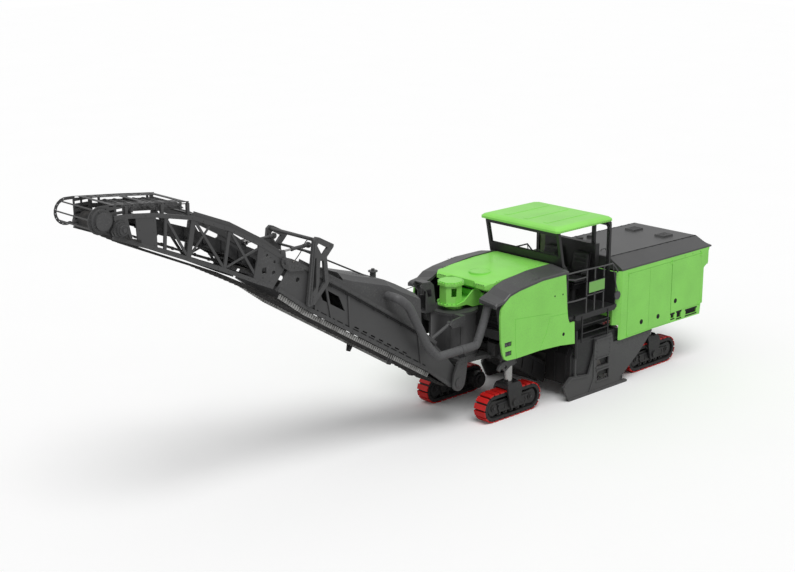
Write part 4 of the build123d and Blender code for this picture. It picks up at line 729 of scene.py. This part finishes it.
wiper = Piece("windscreen_trim", "plastic", "chassis")
for y in (-962, 950):
    wiper.sweep([(screen_x(z), y + 6, z) for z in (3194, 3340, 3500, 3644)], 11, 8)
for z in (3198, 3641):
    wiper.sweep([(screen_x(z), y, z) for y in (-955, 0, 955)], 11, 8)
wiper.cyl((858, 300, 3188), (905, 300, 3222), 22, 18)
wiper.sweep([(905, 300, 3222), (922, 380, 3262), (920, 520, 3268), (908, 640, 3246)], [9, 8, 6, 5], 8)
wiper.box((898, 420, 3238), (908, 880, 3250), 2)
wiper.done()

# Roof edge, hood and shoulder perforations, shown as dark inserts that paint the shade inside the holes
hole_shade = Piece("perforations_painted_shade", "dark", "chassis")
for side in (1, -1):
    for k in range(26):
        x = -640 + k * 64
        hole_shade.box((x, side * 1109, 3752), (x + 34, side * 1110.6, 3759), 0.5)
    for k in range(9):
        x = 1180 + k * 95
        hole_shade.box((x, side * 1200, 2945), (x + 46, side * 1206, 2949), 0.5)
    for k in range(10):
        x = 1850 + k * 78
        z = 2996 - (k * 78 + 220) * 0.0645
        hole_shade.box((x, side * 765, z - 6), (x + 40, side * 771, z - 0.5), 0.5)
    for k in range(5):
        y = 440 + k * 46
        hole_shade.box((2815, side * y, 2870), (2832, side * (y + 26), 2876), 0.5)
    for z in (2560, 2575, 2590, 2605):
        hole_shade.box((3119, side * 870, z), (3121.4, side * 1190, z + 5), 0.5)
for x in (1130, 1240, 1350, 1460, 1570):
    hole_shade.cyl((x, 640, 2985), (x, 640, 2994), 13, 16, 0.8)
hole_shade.done()

# Low rear vents, as (x from, x to, z from, z to): dark linings that paint the shade inside them, dark lips
# and slats; and the tail's grille, dark bars over a dark sheet that paints the shade behind them
VENTS = ((-3750, -3320, 1108, 1236), (-3160, -2980, 1108, 1262), (-2900, -2755, 1138, 1252))
vents_and_shade = Piece("vents_and_painted_shade", "dark", "chassis")
for side in (1, -1):
    for x0, x1, z0, z1 in VENTS:
        vents_and_shade.box((x0, side * 1205, z0), (x1, side * 1229, z1), 3)
        for low_z, high_z in ((z0 - 22, z0 + 8), (z1 - 14, z1 + 26)):
            vents_and_shade.box((x0 - 12, side * 1260.4, low_z), (x1 + 12, side * 1262.4, high_z), 0.8)
        for k in range(3):
            z = z0 + 24 + k * 32
            vents_and_shade.box((x0 + 12, side * 1228, z), (x1 - 12, side * 1238, z + 7), 1.5)
# Dark sheet that paints the shade behind the tail's grille bars
vents_and_shade.box((-3905, -840, 1430), (-3890, 840, 2110), 4)
for k in range(12):
    y = -800 + k * 142
    vents_and_shade.box((-3916, y, 1440), (-3904, y + 10, 2100), 1.5)
vents_and_shade.done()

# Rear hood: two grab handles and a flat cap on each of the two round outlets
fit = Piece("hood_fittings", "plastic", "hood")
for y in (-430, 430):
    fit.sweep([(-1200, y, 2858), (-1200, y, 2885), (-1215, y, 2896), (-1345, y, 2896), (-1360, y, 2885),
               (-1360, y, 2856)], 8, 8)
for x, top, r in ((-1650, 2925, 88), (-2000, 2905, 63)):
    fit.sweep([(x, -560, top - k) for k in (14, 12, 2, 0)], [r - 1, r, r, r - 1], 32)
fit.done()


# Cable from the slewing mast to the hopper, and a hose at the fold
def hose(name, body, points, r, crossing=None):
    """A free hanging line with a crimped fitting at each end; it may lead to a second body."""
    path = smooth_line(points, 60)
    tube = Piece(name, "hose", None if crossing else body)
    tube.sweep(path, r, 12)
    o = tube.done()
    for tag, end, near, holder in (("_start", 0, 2, body), ("_end", -1, -3, crossing or body)):
        way = (path[near] - path[end]).normalized()
        fitting = Piece(name + tag, "steel", holder)
        fitting.sweep([path[end] + way * k for k in (0.5, 3, 16, 18, 40, 43)],
                      [r + 3, r + 6, r + 6, r + 3, r + 3, r + 1.5], 12)
        fitting.done()
    if crossing:
        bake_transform(o)


hose("mast_cable", "slew_frame",
     [(3790, -142, 2952), (3880, -110, 2972), (4300, 30, 2985),
      (4700, 120, 3020), (5000, 200, 3152), (5284, 250, 3264)],
     6, crossing="inner_conveyor")
hose("fold_hose", "inner_conveyor",
     [(7352, 640, 4588), (7420, 668, 4660), (7560, 668, 4600),
      (7650, 668, 4440), (7790, 668, 4300), (7838, 652, 4262)],
     9)

# Inner boom: pipe runs with clamps, ribs on the lower chord and the belt edge's fins, light grey as a
# painted highlight
RAIL_LINE = [(4640, 2290), (6560, 3505), (7060, 3800)]
for side, tag in SIDES:
    rail = Piece("boom_rails_" + tag, "dark", "inner_conveyor")
    for drop in (38, 62):
        rail.sweep([(x + drop * 0.5, side * 636, z - drop * 0.86) for x, z in RAIL_LINE], 9, 8)
    for x, z in along([(4700, 2325), (6560, 3505), (7000, 3765)], 420, 60):
        rail.box((x + 4, side * 624, z - 74), (x + 44, side * 648, z - 18), 3)
    for x, z in along([(4420, 1520), (7380, 3320)], 232, 30):
        rail.plate([(x, z - 26), (x + 132, z + 54), (x + 120, z + 84), (x - 12, z + 4)],
                   side * 600.5, side * 606)
    rail.done()
    comb = Piece("belt_fins_" + tag, "cleat", "inner_conveyor")
    for x, z in along([(4330, 1362), (7490, 3290), (8080, 3720)], 58, 10):
        comb.plate([(x, z - 18), (x + 22, z - 5), (x + 68, z - 81), (x + 46, z - 94)],
                   side * 560, side * 596)
    comb.done()
scraper = Piece("belt_scraper", "black", "inner_conveyor")
for side in (1, -1):
    scraper.plate([(5260, 1930), (5430, 2034), (5462, 1922), (5480, 1792), (5380, 1752), (5320, 1832)],
                  side * 578, side * 590)
    scraper.side_bolts(side, [(590, [(5330, 1900), (5410, 1940)], 9, 7)])
    scraper.cyl((5400, side * 560, 1850), (5400, side * 606, 1850), 26, 18)
scraper.done()

# Outer boom: trough plates with ribs and brackets, and rollers under the belt
RUN = [(8420, 4180), (9200, 4690), (9900, 5040), (10620, 5300)]
ribs = along(RUN, 430, 120)
trough = Piece("outer_trough", "black", "outer_conveyor")
for side in (1, -1):
    for (x0, z0), (x1, z1) in zip(RUN, RUN[1:]):
        trough.plate([(x0, z0 - 80), (x1, z1 - 80), (x1, z1 + 150), (x0, z0 + 150)], side * 424, side * 430)
    for x, z in ribs:
        trough.box((x - 16, side * 430, z - 90), (x + 16, side * 447, z + 140), 3)
        trough.box((x - 26, side * 446, z - 52), (x + 26, side * 549, z - 22), 3)
for x, z in ribs:
    trough.sweep([(x, y, z - 62) for y in (-420, -416, 416, 420)], [30, 36, 36, 30], 18)
    trough.cyl((x, -430, z - 62), (x, 430, z - 62), 12, 12)
trough.done()

# Pipe runs inside the truss, held by clamps, and the head motor's pipes
PIPE_LINE = [(8480, 4130), (9290, 4465), (9850, 4700), (10740, 5095), (11090, 5235)]
for side, tag in SIDES:
    pipes = Piece("truss_pipes_" + tag, "hose", "outer_conveyor")
    for k in (0, 1):
        pipes.sweep([(x, side * (536 - 26 * k), z + 6 + 22 * k) for x, z in PIPE_LINE], 9, 8)
    for x, z in along([(8600, 4190), (9290, 4465), (9850, 4700), (10700, 5080)], 520, 40):
        pipes.box((x - 12, side * 500, z - 14), (x + 12, side * 549, z + 46), 3)
    pipes.done()
motor = Piece("head_motor_fittings", "hose", "outer_conveyor")
for k in (0, 1):
    motor.sweep([(11370 - 60 * k, 690, 5350), (11350 - 60 * k, 690, 5300), (11300 - 60 * k, 660, 5262),
                 (11180 - 40 * k, 632, 5232), (11020, 622 + 2 * k, 5160 + 26 * k)], 10, 10)
motor.done()

# Dust cover under the head guard's decks: a folded sheet with cross ribs, and dark plates in its slots that
# paint the shade inside them
COVER_SLOPE = 0.107
FOLD = [(-478, -34), (-340, 28), (340, 28), (478, -34)]


def cover_z(x):
    """The cover's height over the boom, which rises toward the head."""
    return 5596 + (x - 10000) * COVER_SLOPE


def folded(x, z, upper, upper_width, lower, lower_width):
    """The folded section as a ring: one line across and back, each lifted and narrowed."""
    return ([Vector((x, y * upper_width, z + dz + upper)) for y, dz in FOLD]
            + [Vector((x, y * lower_width, z + dz + lower)) for y, dz in FOLD[::-1]])


cover = Piece("head_cover", "grey", "outer_conveyor")
slot_shade = Piece("head_cover_slot_shade", "dark", "outer_conveyor")
cover.rings([folded(x, cover_z(x), 0, 1, -9, 0.985) for x in (10046, 10060, 10600, 11100, 11114)])
for x in range(10110, 11100, 190):
    z = cover_z(x)
    cover.rings([folded(x + dx, z + dx * COVER_SLOPE, 2, 0.97, 15, 0.95) for dx in (0, 26)])
    for y in (-255, -85, 85, 255):
        slot_shade.plate([(x + 60, z + 35.5), (x + 150, z + 45), (x + 150, z + 48), (x + 60, z + 38.5)],
                    y - 55, y + 55)
for side in (1, -1):
    for x in (10090, 10560, 11060):
        z = cover_z(x)
        cover.box((x, side * 470, z - 60), (x + 44, side * 490, z + 70), 3)
cover.done()
slot_shade.done()

# Painted shade: dark sheets and bars behind the front side panels, in the open bay round the slewing column
BAY = [(2505, 1405), (2742, 1418), (2812, 1452), (2872, 1568), (2922, 1786), (2947, 2105),
       (2955, 2345), (2937, 2488), (2846, 2598), (2694, 2694), (2505, 2745)]
inner = Piece("panel_painted_shade", "dark", "chassis")
for side in (1, -1):
    inner.plate(BAY, side * SHADE_SHEET_Y, side * 1217)
    for z in (1640, 1900, 2160, 2420):
        inner.box((2512, side * 1190, z), (2860, side * 1205, z + 34), 3)
inner.done()

# Console: knobs on the levers as (height, radius) sections, two angled displays and a block of switches
LEVER_KNOB = [(2, 12), (8, 21), (20, 25), (34, 22), (44, 12)]
console = Piece("console_fittings", "plastic", "chassis")
for y in (-430, 0, 430):
    console.rings([[Vector((600 - dz * 0.25 + r * math.cos(t), y + r * math.sin(t), 2752 + dz))
                    for t in turns(18)] for dz, r in LEVER_KNOB])
for y in (-560, 150):
    console.plate([(700, 2655), (735, 2650), (742, 2838), (712, 2842)], y, y + 220)
    console.box((700, y + 16, 2680), (706, y + 204, 2822), 1)
for k in range(9):
    row, place = divmod(k, 3)
    x, y, z = 640 + place * 34, 262 + 24 * row, 2602 + place * 14
    console.cyl((x, y, z), (x, y, z + 24), 8, 10)
console.done()

# Rear hood: a dark strip with clips along each upper crease; the strip paints the crease's shade line
CREASE_Z = 2862
crease_shade_and_clips = Piece("hood_crease_shade_and_clips", "dark", "hood")
for side in (1, -1):
    crease_shade_and_clips.rings([[Vector((x, side * (880 + dy), CREASE_Z - drop + dz))
                 for dy, dz in ((-8, 1), (8, -1), (7, 4), (-7, 6))] for x, drop in ((-975, 0), (-4110, 44))])
    for k in range(11):
        x = -1100 - k * 280
        z = CREASE_Z + (x + 960) * 0.0148
        crease_shade_and_clips.box((x, side * 872, z + 1), (x + 60, side * 896, z + 9), 2)
crease_shade_and_clips.done()


# World: plain white to the camera, softer as a light
world = bpy.data.worlds.new("world")
bpy.context.scene.world = world
world.use_nodes = True
wt = world.node_tree
back = wt.nodes["Background"]
ray = wt.nodes.new("ShaderNodeLightPath")
seen = wt.nodes.new("ShaderNodeMath")
seen.operation = "MAXIMUM"
wt.links.new(ray.outputs["Is Camera Ray"], seen.inputs[0])
wt.links.new(ray.outputs["Is Transmission Ray"], seen.inputs[1])
level = wt.nodes.new("ShaderNodeMapRange")
level.inputs["To Min"].default_value = 0.56
level.inputs["To Max"].default_value = 1.0
wt.links.new(seen.outputs[0], level.inputs["Value"])
wt.links.new(level.outputs[0], back.inputs["Strength"])
back.inputs["Color"].default_value = (1, 1, 1, 1)

# Floor: near white to the camera and through glass, a middle grey to every other ray
FLOOR_HALF = 90
FLOOR_Z = -0.002
corners = [(x * FLOOR_HALF, y * FLOOR_HALF, FLOOR_Z) for x, y in ((-1, -1), (1, -1), (1, 1), (-1, 1))]
floor_mesh = bpy.data.meshes.new("floor")
floor_mesh.from_pydata(corners, [], [(0, 1, 2, 3)])
floor = bpy.data.objects.new("floor", floor_mesh)
bpy.context.collection.objects.link(floor)
fm = Mat("floor_pale")
pale = fm.mix(fm.noise(0.4, 3, 0.5), rgba(0.985, 0.985, 0.985), rgba(1.0, 1.0, 1.0))
rays = fm.node("ShaderNodeLightPath").outputs
direct = fm.math("MAXIMUM", rays["Is Camera Ray"], rays["Is Transmission Ray"])
fm.put("Base Color", fm.mix(direct, rgba(0.52, 0.52, 0.52), pale))
fm.put("Roughness", 0.9)
fm.put("Specular IOR Level", 0.0)
floor_mesh.materials.append(fm.m)

# One broad sun
key_data = bpy.data.lights.new("key", "SUN")
key_data.energy = 1.55
key_data.angle = math.radians(35)
key_light = bpy.data.objects.new("key", key_data)
bpy.context.collection.objects.link(key_light)
key_light.rotation_mode = "QUATERNION"
key_light.rotation_quaternion = Vector((-0.25, -0.45, -1.0)).to_track_quat("-Z", "Y")
